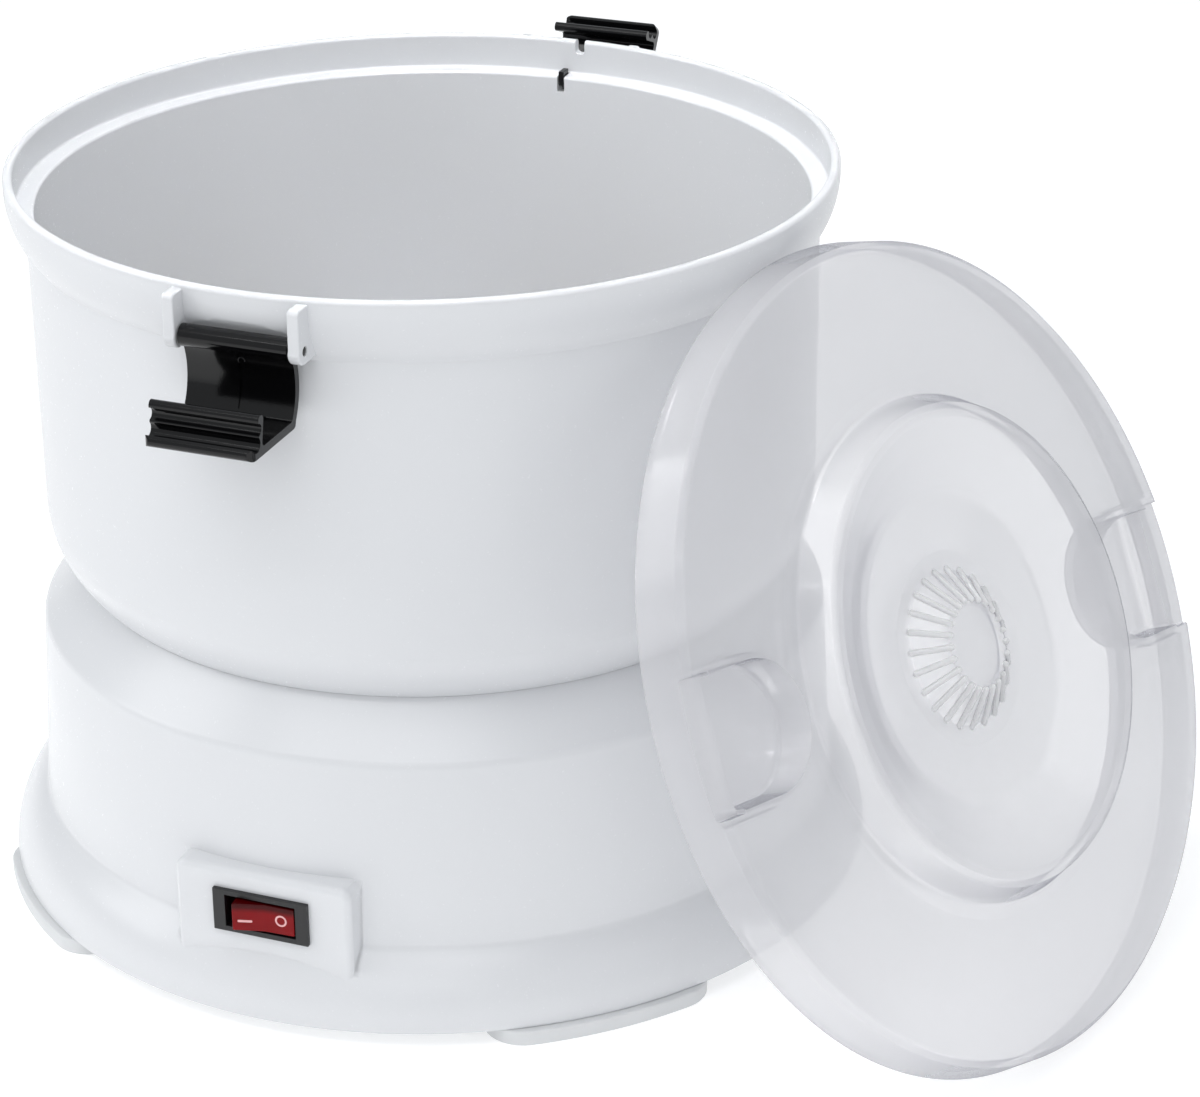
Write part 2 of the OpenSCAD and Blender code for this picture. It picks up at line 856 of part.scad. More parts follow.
module lower_bush() {
    color("peru")
        bush(plate_z - 5, plate_top + 2, plate_top);
}

module upper_bush() {
    color("peru")
        difference() {
            translate([0, 0, wheel_z + wheel_h + 2])
                cylinder(r = bush_r, h = tower_top - wheel_z - wheel_h - 6);
            cylinder(r = spindle_r + run_gap, h = seam_z + 20);
        }
}

module spindle_clip() {
    color("dimgray")
        translate([0, 0, spindle_low + 1.2])
            difference() {
                cylinder(r = spindle_r + 3, h = 1.2);
                translate([0, 0, -1])
                    cylinder(r = spindle_r, h = 4);
                translate([0, -1.5, -1])
                    cube([20, 3, 4]);
            }
}

module spindle_seal() {
    color("black")
        translate([0, 0, tower_top - 4 + seat_gap])
            difference() {
                cylinder(r = bush_r, h = 4);
                translate([0, 0, -1])
                    cylinder(r = spindle_r + run_gap, h = 6);
            }
}

module drive_pin() {
    color("silver")
        cross_bar(drive_pin_r, spindle_r + drive_pin_out);
}

module tub_seal() {
    color("black")
        translate([0, 0, floor_z + 0.4])
            difference() {
                cylinder(r = seal_r, h = 3);
                translate([0, 0, -1])
                    cylinder(r = tower_r, h = 5);
            }
}

// Disc ---------------------------------------------------------------------

module ridges() {
    for (a = [0:360 / ridge_count:359])
        rotate([0, 0, a])
            intersection() {
                translate([ridge_r1, 0, disc_top + ridge_h - ridge_half_w - 4])
                    rotate([0, 90, 0])
                        cylinder(r = ridge_half_w + 4, h = ridge_r2 - ridge_r1);
                translate([0, -ridge_half_w, disc_top - 1])
                    cube([disc_r, 2 * ridge_half_w, ridge_h + 2]);
            }
}

module peeling_disc() {
    color("whitesmoke")
        difference() {
            union() {
                translate([0, 0, disc_z])
                    cylinder(r = disc_r, h = disc_t);
                translate([0, 0, upstand_top - 3])
                    difference() {
                        cylinder(r = hub_r, h = disc_z - upstand_top + 3.5);
                        translate([0, 0, -1])
                            cylinder(r = hub_r - hub_wall, h = disc_z - upstand_top + 6);
                    }
                translate([0, 0, disc_z - disc_hub_h])
                    cylinder(r = tower_r - 2, h = disc_hub_h + 0.5);
                ridges();
            }
            cylinder(r = spindle_r + seat_gap, h = rim_z);
            translate([0, 0, drive_pin_z + drive_pin_r + 0.2 - disc_hub_h])
                cube([2 * (spindle_r + drive_pin_out + 0.4), 2 * (drive_pin_r + 0.1), 2 * disc_hub_h],
                    center = true);
        }
}

module disc_grit() {
    side = 15;
    color("dimgray")
        for (a = [0:360 / ridge_count:359])
            rotate([0, 0, a + side])
                rotate_extrude(angle = 360 / ridge_count - 2 * side)
                    translate([ridge_r1 + 4, disc_top])
                        square([disc_r - ridge_r1 - 7, grit_t]);
}

module disc_nut() {
    color("whitesmoke")
        translate([0, 0, disc_top])
            difference() {
                union() {
                    cylinder(r = nut_r, h = nut_h - 3);
                    cylinder(r = nut_r - 3, h = nut_h);
                    for (a = [0:60:300])
                        rotate([0, 0, a])
                            translate([nut_r - 1, 0, 0])
                                cylinder(r = 3, h = nut_h - 3, $fn = 32);
                }
                translate([0, 0, -1])
                    cylinder(r = spindle_r + seat_gap, h = nut_h - 1.5);
            }
}

// Tub ----------------------------------------------------------------------

tub_outside = concat(
    [[rim_r, rim_z]],
    arc([flare_c, flare_z], flare_round, 0, -asin((flare_z - flare_low) / flare_round)),
    arc([corner_c, tub_corner_z], tub_round, 0, -asin((tub_corner_z - tub_seam_z) / tub_round)),
    [[well_r, tub_seam_z], [well_r, floor_z], [tub_hole_r, floor_z], [tub_hole_r, upstand_top]]);

tub_inside = concat(
    [[lip_r, rim_z], [lip_r, seat_z], [tub_in_r, seat_z]],
    arc([corner_c, tub_corner_z], tub_round - tub_wall, 0,
        -asin((tub_corner_z - floor_top) / (tub_round - tub_wall))),
    [[tub_hole_r + upstand_t, floor_top], [tub_hole_r + upstand_t, upstand_top]]);

// The pair of hinge ears for one latch, on the -Y side
module latch_ears() {
    for (s = [-1, 1])
        translate([s * (ear_in + ear_t / 2) - ear_t / 2, 0, 0])
            rotate([90, 0, 90])
                linear_extrude(ear_t)
                    union() {
                        translate([-pin_y - ear_nose + 0.6, pin_z])
                            square([pin_y + ear_nose - tub_r + 2, rim_z - 1.5 - pin_z]);
                        translate([-pin_y, pin_z - ear_nose + 0.6])
                            square([pin_y - tub_r + 1, ear_nose + 1]);
                        translate([-pin_y, pin_z])
                            circle(r = ear_nose, $fn = 48);
                    }
}

// The recess between the ears in which the barrel turns, with a sloping roof under the seat
module latch_recess() {
    translate([-ear_in, 0, 0])
        rotate([90, 0, 90])
            linear_extrude(2 * ear_in)
                polygon([[-tub_r, recess_z], [-tub_r, undercut_z], [-rim_r + 0.4, apron_z],
                    [-rim_r - 10, apron_z], [-rim_r - 10, recess_z]]);
}

module tub() {
    color("white")
        difference() {
            union() {
                rotate_extrude()
                    polygon(concat(tub_outside, reversed(tub_inside)));
                difference() {
                    for (a = [0, 180])
                        rotate([0, 0, a])
                            latch_ears();
                    cylinder(r = tub_in_r + 1, h = seat_z);
                    cylinder(r = lip_r + 1, h = rim_z + 1);
                }
                rotate_extrude()
                    translate([well_r - 5.6, deck_z + 0.6])
                        square([2.8, floor_z - deck_z]);
                for (a = [0:120:240])
                    rotate([0, 0, a + 60])
                        rotate_extrude(angle = 10)
                            translate([well_r - 3, deck_z + 0.6])
                                square([3 - move_gap, 2.4]);
            }
            for (a = [0, 180])
                rotate([0, 0, a]) {
                    latch_recess();
                    translate([-ear_out - 1, -pin_y, pin_z])
                        rotate([0, 90, 0])
                            cylinder(r = pin_r + seat_gap, h = 2 * ear_out + 2, $fn = 32);
                }
            translate([rod_x - slot_w / 2, tub_in_r - 3, slot_z])
                cube([slot_w, nib_y2 + move_gap - tub_in_r + 3, seat_z + 1 - slot_z]);
            translate([rod_x - slot_w / 2, tub_r + move_gap, undercut_z - 1])
                cube([slot_w, nib_y2 - tub_r, seat_z + 2 - undercut_z]);
            translate([notch_x - notch_w / 2, lip_r - 3, rim_z - notch_d])
                cube([notch_w, 12, notch_d + 1]);
        }
}

// Latches ------------------------------------------------------------------

// The face of a latch's plate and hook in section, with its hinge line at the origin
latch_bow_r = pow(latch_l, 2) / (8 * latch_bow) + latch_bow / 2;
latch_half = asin(latch_l / 2 / latch_bow_r);
hook_foot = [hook_l, -latch_l];
hook_tip = hook_foot + [-0.32 * hook_h, hook_h];
latch_path = concat(arc([latch_face - latch_bow + latch_bow_r, -latch_l / 2], latch_bow_r,
    180 - latch_half, 180 + latch_half), [hook_foot, hook_tip]);

// A latch on the -Y side, turned about its hinge line by lift degrees from hanging
module latch(lift) {
    grips = inset(latch_path, latch_t - 0.5);
    last = len(grips) - 1;
    translate([0, -pin_y, pin_z])
        rotate([90 - lift, 0, 0])
            rotate([0, -90, 0])
                translate([0, 0, -latch_w / 2])
                    difference() {
                        union() {
                            cylinder(r = barrel_r, h = latch_w, $fn = 48);
                            linear_extrude(latch_w)
                                polygon(shell(latch_path, latch_t));
                            for (f = bead_places)
                                translate(grips[last - 1] + f * (grips[last] - grips[last - 1]))
                                    cylinder(r = ridge_bead, h = latch_w, $fn = 24);
                        }
                        translate([0, 0, -1])
                            cylinder(r = pin_r + run_gap, h = latch_w + 2, $fn = 32);
                    }
}

module latch_pin() {
    translate([-ear_out, -pin_y, pin_z])
        rotate([0, 90, 0])
            cylinder(r = pin_r, h = 2 * ear_out, $fn = 32);
}

module front_latch() {
    color("black")
        latch(0);
}

module front_latch_pin() {
    color("silver")
        latch_pin();
}

module rear_latch() {
    color("black")
        rotate([0, 0, 180])
            latch(rear_lift);
}

module rear_latch_pin() {
    color("silver")
        rotate([0, 0, 180])
            latch_pin();
}

// Safety switch ------------------------------------------------------------

// A flat rod outside the tub's rear wall: its nib stands just above the lid's seat
module interlock_rod() {
    color("black")
        translate([rod_x, 0, 0])
            difference() {
                union() {
                    translate([-rod_w / 2, blade_y, rod_foot_z])
                        cube([rod_w, blade_t, blade_top - rod_foot_z]);
                    translate([-rod_w / 2, rod_foot_y, rod_foot_z])
                        cube([rod_w, blade_y + blade_t - rod_foot_y, rod_foot_h]);
                    translate([-nib_w / 2, blade_y - 0.3, blade_top - 4])
                        cube([nib_w, nib_y2 - blade_y + 0.3, seat_z + nib_rise - blade_top + 4]);
                    translate([-nib_w / 2, nib_y1, slot_z + rod_travel + move_gap])
                        cube([nib_w, nib_y2 - nib_y1, seat_z + nib_rise - slot_z - rod_travel - move_gap]);
                }
                translate([-window_w / 2, blade_y - 1, spring_z - shelf_t - rod_travel - 1])
                    cube([window_w, blade_t + 2, spring_l + shelf_t + rod_travel + 1]);
            }
}

// Compression spring in the rod's window, standing on the duct's shelf
module rod_spring() {
    color("silver")
        translate([rod_x, blade_y + blade_t / 2, spring_z])
            linear_extrude(spring_l, twist = -360 * spring_turns, slices = 16 * spring_turns, $fn = 8)
                translate([spring_r, 0])
                    square([2 * spring_wire, 4 * spring_wire], center = true);
}

// The duct on the tub's rear wall that guides the rod
module rod_cover() {
    color("white")
        translate([rod_x, 0, 0])
            difference() {
                union() {
                    difference() {
                        translate([-duct_half, tub_r - 1.2, duct_z1])
                            cube([2 * duct_half, duct_y - tub_r + 1.2, duct_z2 - duct_z1]);
                        translate([-duct_half + duct_wall, tub_r - 5, duct_z1 - 1])
                            cube([2 * (duct_half - duct_wall), duct_y - duct_wall - tub_r + 5,
                                duct_z2 - duct_z1 + 2]);
                    }
                    translate([-window_w / 2 + 0.3, blade_y - 0.6, spring_z - shelf_t])
                        cube([window_w - 0.6, duct_y - duct_wall - blade_y + 1, shelf_t]);
                }
                translate([-rod_x, 0, duct_z1 - 2])
                    cylinder(r = tub_r + seat_gap, h = rim_z);
            }
}

module safety_switch() {
    color("black")
        difference() {
            translate([rod_x - micro_x / 2, plunger_y - micro_y / 2,
                pocket_floor - base_wall - seat_gap - micro_z])
                cube([micro_x, micro_y, micro_z]);
            translate([rod_x, plunger_y, pocket_floor - base_wall - 7.5])
                cylinder(r = plunger_r + move_gap, h = 20, $fn = 32);
        }
}

module switch_plunger() {
    color("red")
        translate([rod_x, plunger_y, rod_foot_z - move_gap - 10])
            cylinder(r = plunger_r, h = 10, $fn = 32);
}

// Lid ----------------------------------------------------------------------

// Outside of the lid in section, from the middle to the flange's free edge
lid_face_r = lid_r - flange_taper;
dish_z = flange_h - 0.5;
lid_path = [[0, dish_z + grip_h - 0.8], [grip_r * 0.5, dish_z + grip_h - 0.3],
    [grip_r * 0.6, dish_z + grip_h], [grip_r, dish_z], [grip_r + 6, dish_z + 0.2],
    [ring_r * 0.66, dish_z + 3], [ring_r * 0.86, flange_h + ring_h - 3],
    [ring_r - 2.4, flange_h + ring_h - 0.3], [ring_r, flange_h + ring_h],
    [ring_r + 2, flange_h + ring_h - 1], [pocket_far - 0.3, flange_h + 1.6],
    [pocket_far + 4, flange_h + 1.2], [lid_face_r - 2, flange_h], [lid_face_r - 0.5, flange_h - 0.5],
    [lid_face_r, flange_h - 2], [lid_r, 0]];

module lid_solid() {
    rotate_extrude()
        polygon(concat(lid_path, [[0, 0]]));
}

// Plan of a latch pocket: straight sides, a round inner end and a straight bar outside
module pocket_plan(grow) {
    translate([0, pocket_arc_y])
        circle(r = pocket_w / 2 + grow);
    translate([-pocket_w / 2 - grow, pocket_arc_y])
        square([pocket_w + 2 * grow, bar_y - pocket_arc_y + grow]);
}

module lid_flutes() {
    rise = atan2(grip_h, 0.4 * grip_r);
    for (i = [0:flutes - 1])
        rotate([0, 0, 360 * i / flutes])
            translate([grip_r, 0, dish_z])
                rotate([0, rise - 90, 0])
                    cylinder(r = 1.1, h = norm([grip_h, 0.4 * grip_r]), $fn = 16);
}

module lid_body() {
    difference() {
        union() {
            rotate_extrude()
                polygon(shell(lid_path, lid_t));
            intersection() {
                lid_solid();
                for (a = [0, 180])
                    rotate([0, 0, a]) {
                        translate([0, 0, flange_h - pocket_d - lid_t])
                            linear_extrude(past)
                                pocket_plan(lid_t);
                        translate([-pocket_w / 2 - lid_t, pocket_arc_y, flange_h - bar_drop - lid_t])
                            cube([pocket_w + 2 * lid_t, past, past]);
                    }
            }
            lid_flutes();
        }
        for (a = [0, 180])
            rotate([0, 0, a]) {
                translate([0, 0, flange_h - pocket_d])
                    linear_extrude(past)
                        pocket_plan(0);
                translate([-pocket_w / 2, bar_y - 1, flange_h - bar_drop])
                    cube([pocket_w, past, past]);
            }
    }
}

module lid() {
    color("lightcyan", 0.4)
        rotate([0, 0, lid_bearing])
            translate([lid_centre_d, lid_slide, lid_r * cos(lid_lean)])
                rotate([0, 90 - lid_lean, 0])
                    rotate([0, 0, lid_roll])
                        lid_body();
}

base_housing();
bottom_cover();
feet();
cover_screws();
switch_body();
switch_rocker();
cord_inlet();
motor_case();
motor_rotor();
motor_shaft();
motor_fan();
motor_pinion();
motor_screws();
gear_plate();
plate_screws();
idler_gear();
idler_pin();
drive_wheel();
spindle();
lower_bush();
upper_bush();
spindle_clip();
spindle_seal();
drive_pin();
tub_seal();
tub();
peeling_disc();
disc_grit();
disc_nut();
front_latch();
front_latch_pin();
rear_latch();
rear_latch_pin();
interlock_rod();
rod_spring();
rod_cover();
safety_switch();
switch_plunger();
lid();
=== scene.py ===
# %% [markdown]
# # A countertop potato peeler, dressed for its portrait
# The machine is a white tub on a white motor base, with two black latches and a clear lid that leans
# beside it. Its solids come from a packed model that never moves. Each visible casing is built again here
# with soft edges and a real finish, in the same place, and then rides on the body that carries it.

# %% Load the model
import math

import bmesh
import bpy
from mathutils import Matrix, Vector
from mathutils.bvhtree import BVHTree


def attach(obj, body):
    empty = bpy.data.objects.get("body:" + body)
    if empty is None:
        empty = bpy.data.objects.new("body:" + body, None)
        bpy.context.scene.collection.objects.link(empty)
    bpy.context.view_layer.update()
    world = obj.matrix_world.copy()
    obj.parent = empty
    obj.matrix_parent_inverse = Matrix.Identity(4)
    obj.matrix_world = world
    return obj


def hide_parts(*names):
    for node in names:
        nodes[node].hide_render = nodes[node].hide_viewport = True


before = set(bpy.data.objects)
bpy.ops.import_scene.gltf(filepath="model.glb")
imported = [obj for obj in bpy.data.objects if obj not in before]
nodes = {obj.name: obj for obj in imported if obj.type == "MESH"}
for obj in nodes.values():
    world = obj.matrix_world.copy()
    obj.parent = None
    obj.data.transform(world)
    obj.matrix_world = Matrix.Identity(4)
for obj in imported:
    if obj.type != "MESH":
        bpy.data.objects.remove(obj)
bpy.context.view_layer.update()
mm = 0.001

# %% [markdown]
# A product portrait is taken from a little above, with a long lens, so that the round tub keeps its
# shape. The camera stands at a given point and is turned by its heading and its tilt, which is how a
# photographer would describe it, and a slight roll is kept.

# %% Camera
camera_place = Vector((0.4229, -0.93115, 0.5725))
heading, tilt, roll = 21.5, 24.95, -0.464
camera = bpy.data.objects.new("camera", bpy.data.cameras.new("camera"))
camera.data.sensor_width = 36.0
camera.data.lens = 106.9
camera.data.clip_end = 50.0
turn = Matrix.Rotation(math.radians(heading), 4, "Z") @ Matrix.Rotation(math.radians(90 - tilt), 4, "X")
camera.matrix_world = Matrix.Translation(camera_place) @ turn @ Matrix.Rotation(math.radians(roll), 4, "Z")
bpy.context.scene.collection.objects.link(camera)
bpy.context.scene.camera = camera
print("camera at", [round(v, 3) for v in camera_place])

# %% [markdown]
# White plastic on a white table only keeps its shape if the light is soft and comes from many sides. A
# pale sky gives the fill, broad panels give the direction, a small lamp behind a grid reaches the bottom
# of the tub, and a narrow strip makes the gleam on the black latches and on the clear lid.

# %% Light
scene = bpy.context.scene
scene.view_settings.view_transform = "Standard"
sky = bpy.data.worlds.new("studio")
sky.use_nodes = True
sky_tint, sky_glow = (0.94, 0.97, 1.0, 1), 0.6
background = sky.node_tree.nodes["Background"]
background.inputs["Color"].default_value = sky_tint
background.inputs["Strength"].default_value = sky_glow
scene.world = sky


def soft_panel(name, place, aim, width, height, power, spread=180):
    """A flat studio light that looks at a point; a small spread is a grid in front of it."""
    lamp = bpy.data.lights.new(name, "AREA")
    lamp.shape, lamp.size, lamp.size_y, lamp.energy = "RECTANGLE", width, height, power
    lamp.spread = math.radians(spread)
    panel = bpy.data.objects.new(name, lamp)
    panel.location = place
    panel.rotation_euler = (Vector(aim) - Vector(place)).to_track_quat("-Z", "Y").to_euler()
    scene.collection.objects.link(panel)


soft_panel("overhead", (0, -0.5, 1.5), (0, 0.05, 0.1), 1.2, 1.2, 4.9)
soft_panel("window", (-1.5, -0.7, 1.1), (0, 0, 0.12), 0.9, 1.3, 9)
soft_panel("front", (0.5, -1.7, 1.3), (0, 0, 0.12), 1.0, 1.0, 3.7)
soft_panel("top", (0, 0, 0.85), (0, 0, 0), 0.16, 0.16, 0.22, 34)
soft_panel("strip", (0.15, -0.95, 1.5), (0, 0, 0.15), 1.9, 0.05, 2.4)
soft_panel("fill", (1.7, -0.7, 0.9), (0, 0, 0.12), 0.9, 0.9, 2.1)
print("lit by a sky and", len(bpy.data.lights), "lamps")

# %% [markdown]
# Everything below is made of node trees or of meshes. To keep the sums in the trees readable, one class
# wraps a socket so that plus, minus, times and powers can be written as usual. Each sum adds its own Math
# node, and 1 - mask works too, because the class also knows the sums that start with a number.


# %% Shader maths
class Signal:
    """A socket that takes part in sums."""

    def __init__(self, graph, socket):
        self.graph, self.socket = graph, socket

    def maths(self, operation, other=None, first=None):
        values = [self if first is None else first, other if first is None else self]
        sockets = {i: v for i, v in enumerate(values) if v is not None}
        return self.graph.make("ShaderNodeMath", {"operation": operation}, sockets, 0)

    def __add__(self, other):
        return self.maths("ADD", other)

    def __rsub__(self, other):
        return self.maths("SUBTRACT", first=other)

    def __mul__(self, other):
        return self.maths("MULTIPLY", other)

    def __pow__(self, other):
        return self.maths("POWER", other)

    def __gt__(self, other):
        return self.maths("GREATER_THAN", other)

    __radd__, __rmul__ = __add__, __mul__


# %% [markdown]
# A graph is a node tree with one method that adds any node. A node's settings come first, because they
# decide which sockets it has. A colour ramp is one of them: its stops are given as pairs of place and level.


# %% Node trees
class Graph:
    """A node tree and the nodes that are added to it."""

    def __init__(self, tree):
        self.tree = tree
        self.tree.nodes.clear()

    def make(self, kind, settings, sockets, result=None):
        """Adds a node: its settings first, then the values or links of its sockets."""
        node = self.tree.nodes.new(kind)
        stops = settings.pop("stops", None)
        for name, value in settings.items():
            setattr(node, name, value)
        if stops:
            ramp = node.color_ramp.elements
            while len(ramp) < len(stops):
                ramp.new(0.5)
            for element, (place, level) in zip(ramp, stops):
                element.position, element.color = place, (level, level, level, 1)
        for name, value in sockets.items():
            if isinstance(value, Signal):
                self.tree.links.new(value.socket, node.inputs[name])
            else:
                node.inputs[name].default_value = value
        return node if result is None else Signal(self, node.outputs[result])


# %% [markdown]
# A finish is a graph that makes a material. Its patterns are read in the object's own coordinates, in
# metres, so they stay on the piece when it moves and have the same grain on every piece.


# %% Finishes
class Finish(Graph):
    """A material and the nodes that make it."""

    def __init__(self, name):
        self.material = bpy.data.materials.new(name)
        self.material.use_nodes = True
        super().__init__(self.material.node_tree)
        self.place = self.make("ShaderNodeTexCoord", {}, {}, "Object")

    def noise(self, scale, detail=2.0, roughness=0.5, stretch=(1, 1, 1)):
        """Cloudy noise from 0 to 1; scale counts waves in a metre."""
        place = self.make("ShaderNodeMapping", {}, {"Vector": self.place, "Scale": stretch}, 0)
        sockets = {"Vector": place, "Scale": scale, "Detail": detail, "Roughness": roughness}
        return self.make("ShaderNodeTexNoise", {}, sockets, 0)

    def ramp(self, level, *stops):
        return self.make("ShaderNodeValToRGB", {"stops": stops}, {0: level}, 0)

    def blend(self, share, one, other):
        """A colour between two others."""
        return self.make("ShaderNodeMix", {"data_type": "RGBA"}, {0: share, 6: one, 7: other}, 2)

    def layered(self, share, under, over):
        """One shader under a share of another."""
        return self.make("ShaderNodeMixShader", {}, {0: share, 1: under, 2: over}, 0)

    def relief(self, height, depth, strength=1.0):
        """A normal for fine relief whose full height is depth, in metres."""
        return self.make("ShaderNodeBump", {}, {"Height": height, "Distance": depth, "Strength": strength}, 0)

    def surface(self, **sockets):
        names = {name.replace("_", " "): value for name, value in sockets.items()}
        return self.make("ShaderNodeBsdfPrincipled", {}, names, 0)

    def done(self, shader):
        self.make("ShaderNodeOutputMaterial", {}, {"Surface": shader})
        return self.material


def rgb(red, green, blue):
    return (red, green, blue, 1)


print("a finish is made with", [name for name in vars(Finish) if name[0] != "_"])


# %% [markdown]
# The casings are moulded in white ABS. It is never quite one white: a polished mould leaves a broad
# sheen with a very fine orange-peel grain, and handling dulls it here and there. The tones stay close
# together, because a strong pattern would read as dirt at this size.


# %% White casing plastic
def casing_white():
    finish = Finish("casing_white")
    cloud = finish.noise(14, 2, 0.4)
    speck = finish.noise(900, 3, 0.7)
    grain = finish.noise(2600, 2, 0.7)
    colour = finish.blend(cloud * 0.6 + speck * 0.4, rgb(0.655, 0.664, 0.684), rgb(0.675, 0.684, 0.702))
    normal = finish.relief(grain, 0.00002, 0.3)
    return finish.done(
        finish.surface(Base_Color=colour, Roughness=0.24 + 0.05 * speck, Normal=normal, IOR=1.53)
    )


white = casing_white()
print("made", white.name, "with", len(white.node_tree.nodes), "nodes")

# %% [markdown]
# The latches are glossy black. Their plastic shows faint flow marks along the length of the part, where
# it ran into the mould, so the noise is stretched that way.


# %% Black latch plastic
def latch_black():
    finish = Finish("latch_black")
    flow = finish.noise(60, 4, 0.6, (0.25, 1, 1))
    grain = finish.noise(2200, 2)
    colour = finish.blend(flow, rgb(0.0015, 0.0015, 0.0018), rgb(0.003, 0.003, 0.0034))
    normal = finish.relief(grain, 0.00002, 0.4)
    return finish.done(
        finish.surface(Base_Color=colour, Roughness=0.07 + 0.07 * flow, Normal=normal, IOR=1.42)
    )


black = latch_black()
print("made", black.name, "with", len(black.node_tree.nodes), "nodes")

# %% [markdown]
# The lid is clear polystyrene. Real refraction would need many light bounces through two close skins, and
# a thin clear wall hardly bends the view anyway. So the skin is a see-through film. It has a milky veil,
# lit from both sides, a dark bluish tint that grows where the wall is seen edge-on, and a thin gloss. The
# grip's ribs are thick and catch much more light, so they get the same film with a denser veil.


# %% Clear lid
def lid_clear(name, veil_share, shine, tone, rim):
    """A see-through film; tone is the veil's colour, and rim the tint where it is seen edge-on."""
    finish = Finish(name)
    haze = finish.noise(35, 3)
    facing = finish.make("ShaderNodeLayerWeight", {}, {"Blend": 0.5}, "Facing")
    edge = facing ** 4
    gloss = finish.make("ShaderNodeFresnel", {}, {"IOR": 1.45}, 0)
    milk = finish.blend(haze, tone, rgb(*[0.97 * v for v in tone[:3]]))
    front = finish.surface(Base_Color=milk, Roughness=0.4, IOR=1.3)
    glow = rgb(*[0.985 * v for v in tone[:3]])
    through = finish.make("ShaderNodeBsdfTranslucent", {}, {"Color": glow}, 0)
    veil = finish.layered(0.5, front, through)
    flat_on, edge_on = (
        finish.make("ShaderNodeBsdfTransparent", {}, {"Color": tint}, 0)
        for tint in (rgb(0.925, 0.923, 0.93), rim)
    )
    clear = finish.layered(edge, flat_on, edge_on)
    mirror = finish.surface(
        Base_Color=rgb(1, 1, 1), Metallic=1.0, Roughness=0.08 + 0.06 * haze,
        Normal=finish.relief(haze, 0.0001, 0.2),
    )
    film = finish.layered(veil_share * (1 - 0.8 * edge), clear, veil)
    return finish.done(finish.layered(gloss * shine, film, mirror))


clear = lid_clear("lid_clear", 0.31, 0.42, rgb(0.945, 0.942, 0.955), rgb(0.13, 0.14, 0.2))
rib_clear = lid_clear("rib_clear", 0.8, 0.6, rgb(1, 1, 1), rgb(1, 1, 1))
print("made", clear.name, "and", rib_clear.name)

# %% [markdown]
# The smaller parts need only two kinds of finish: plain moulded plastic or rubber in two close tones, and
# turned metal with fine streaks. One function for each kind serves them all, with other colours.


# %% Plain plastics and metals
def plain_moulding(name, dark, light, roughness, waves=60, grain_depth=0.00004):
    """Moulded plastic or rubber: two close tones and a fine grain."""
    finish = Finish(name)
    cloud = finish.noise(waves, 3)
    grain = finish.noise(1800, 2)
    return finish.done(
        finish.surface(
            Base_Color=finish.blend(cloud, dark, light), Roughness=roughness + 0.12 * cloud,
            Normal=finish.relief(grain, grain_depth, 0.5),
        )
    )


def turned_metal(name, dark, light, roughness):
    """Turned or rolled metal: fine streaks and a slightly uneven polish."""
    finish = Finish(name)
    streak = finish.noise(500, 3, 0.6, (1, 1, 14))
    cloud = finish.noise(40, 2)
    return finish.done(
        finish.surface(
            Base_Color=finish.blend(cloud, dark, light), Metallic=1.0, Roughness=roughness + 0.15 * streak,
            Normal=finish.relief(streak, 0.00003, 0.4),
        )
    )


foot_grey = plain_moulding("foot_grey", rgb(0.62, 0.63, 0.64), rgb(0.68, 0.69, 0.70), 0.5)
cover_grey = plain_moulding("cover_grey", rgb(0.58, 0.6, 0.62), rgb(0.66, 0.68, 0.7), 0.45)
bezel_grey = plain_moulding("bezel_grey", rgb(0.004, 0.004, 0.005), rgb(0.008, 0.008, 0.009), 0.3)
switch_black = plain_moulding("switch_black", rgb(0.012, 0.013, 0.015), rgb(0.03, 0.03, 0.034), 0.35)
rubber_black = plain_moulding("rubber_black", rgb(0.02, 0.02, 0.02), rgb(0.04, 0.04, 0.04), 0.65)
nylon = plain_moulding("nylon", rgb(0.74, 0.71, 0.62), rgb(0.82, 0.8, 0.73), 0.4)
mark_pink = plain_moulding("mark_pink", rgb(0.70, 0.36, 0.37), rgb(0.78, 0.46, 0.46), 0.4, 400)
steel = turned_metal("steel", rgb(0.5, 0.5, 0.52), rgb(0.66, 0.66, 0.67), 0.25)
zinc = turned_metal("zinc", rgb(0.42, 0.44, 0.46), rgb(0.6, 0.61, 0.6), 0.38)
brass = turned_metal("brass", rgb(0.62, 0.42, 0.16), rgb(0.75, 0.55, 0.26), 0.28)
copper = turned_metal("copper", rgb(0.45, 0.18, 0.08), rgb(0.62, 0.28, 0.13), 0.35)
grit_dark = plain_moulding("grit_dark", rgb(0.16, 0.15, 0.14), rgb(0.36, 0.34, 0.31), 0.7, 900, 0.0004)
print("made", len(bpy.data.materials), "finishes so far")

# %% [markdown]
# The rocker is clear red plastic over the dark inside of the switch. It could be real tinted glass, but
# there is nothing to see through it. So it is a deep red under a smooth wet gloss, with painted shade
# that darkens its top, where no light would come back from inside.


# %% Red rocker
def rocker_red():
    """Clear red moulding over a dark switch: deep colour with painted shade on its top, and a wet gloss."""
    finish = Finish("rocker_red")
    depth = finish.noise(110, 3)
    # Painted shade: above a set height the red colour turns much darker, over the top of the rocker.
    height = finish.make("ShaderNodeSeparateXYZ", {}, {0: finish.place}, "Z")
    painted_shade = finish.ramp(height * 20, (0.755, 0), (0.79, 1))
    colour = finish.blend(depth, rgb(0.15, 0.0005, 0.002), rgb(0.26, 0.001, 0.004))
    colour = finish.blend(painted_shade, colour, rgb(0.05, 0.0003, 0.001))
    return finish.done(
        finish.surface(
            Base_Color=colour, Roughness=0.1 + 0.06 * depth, IOR=1.27,
            Normal=finish.relief(depth, 0.0001, 0.25),
        )
    )


red = rocker_red()
print("made", len(bpy.data.materials), "finishes in all")

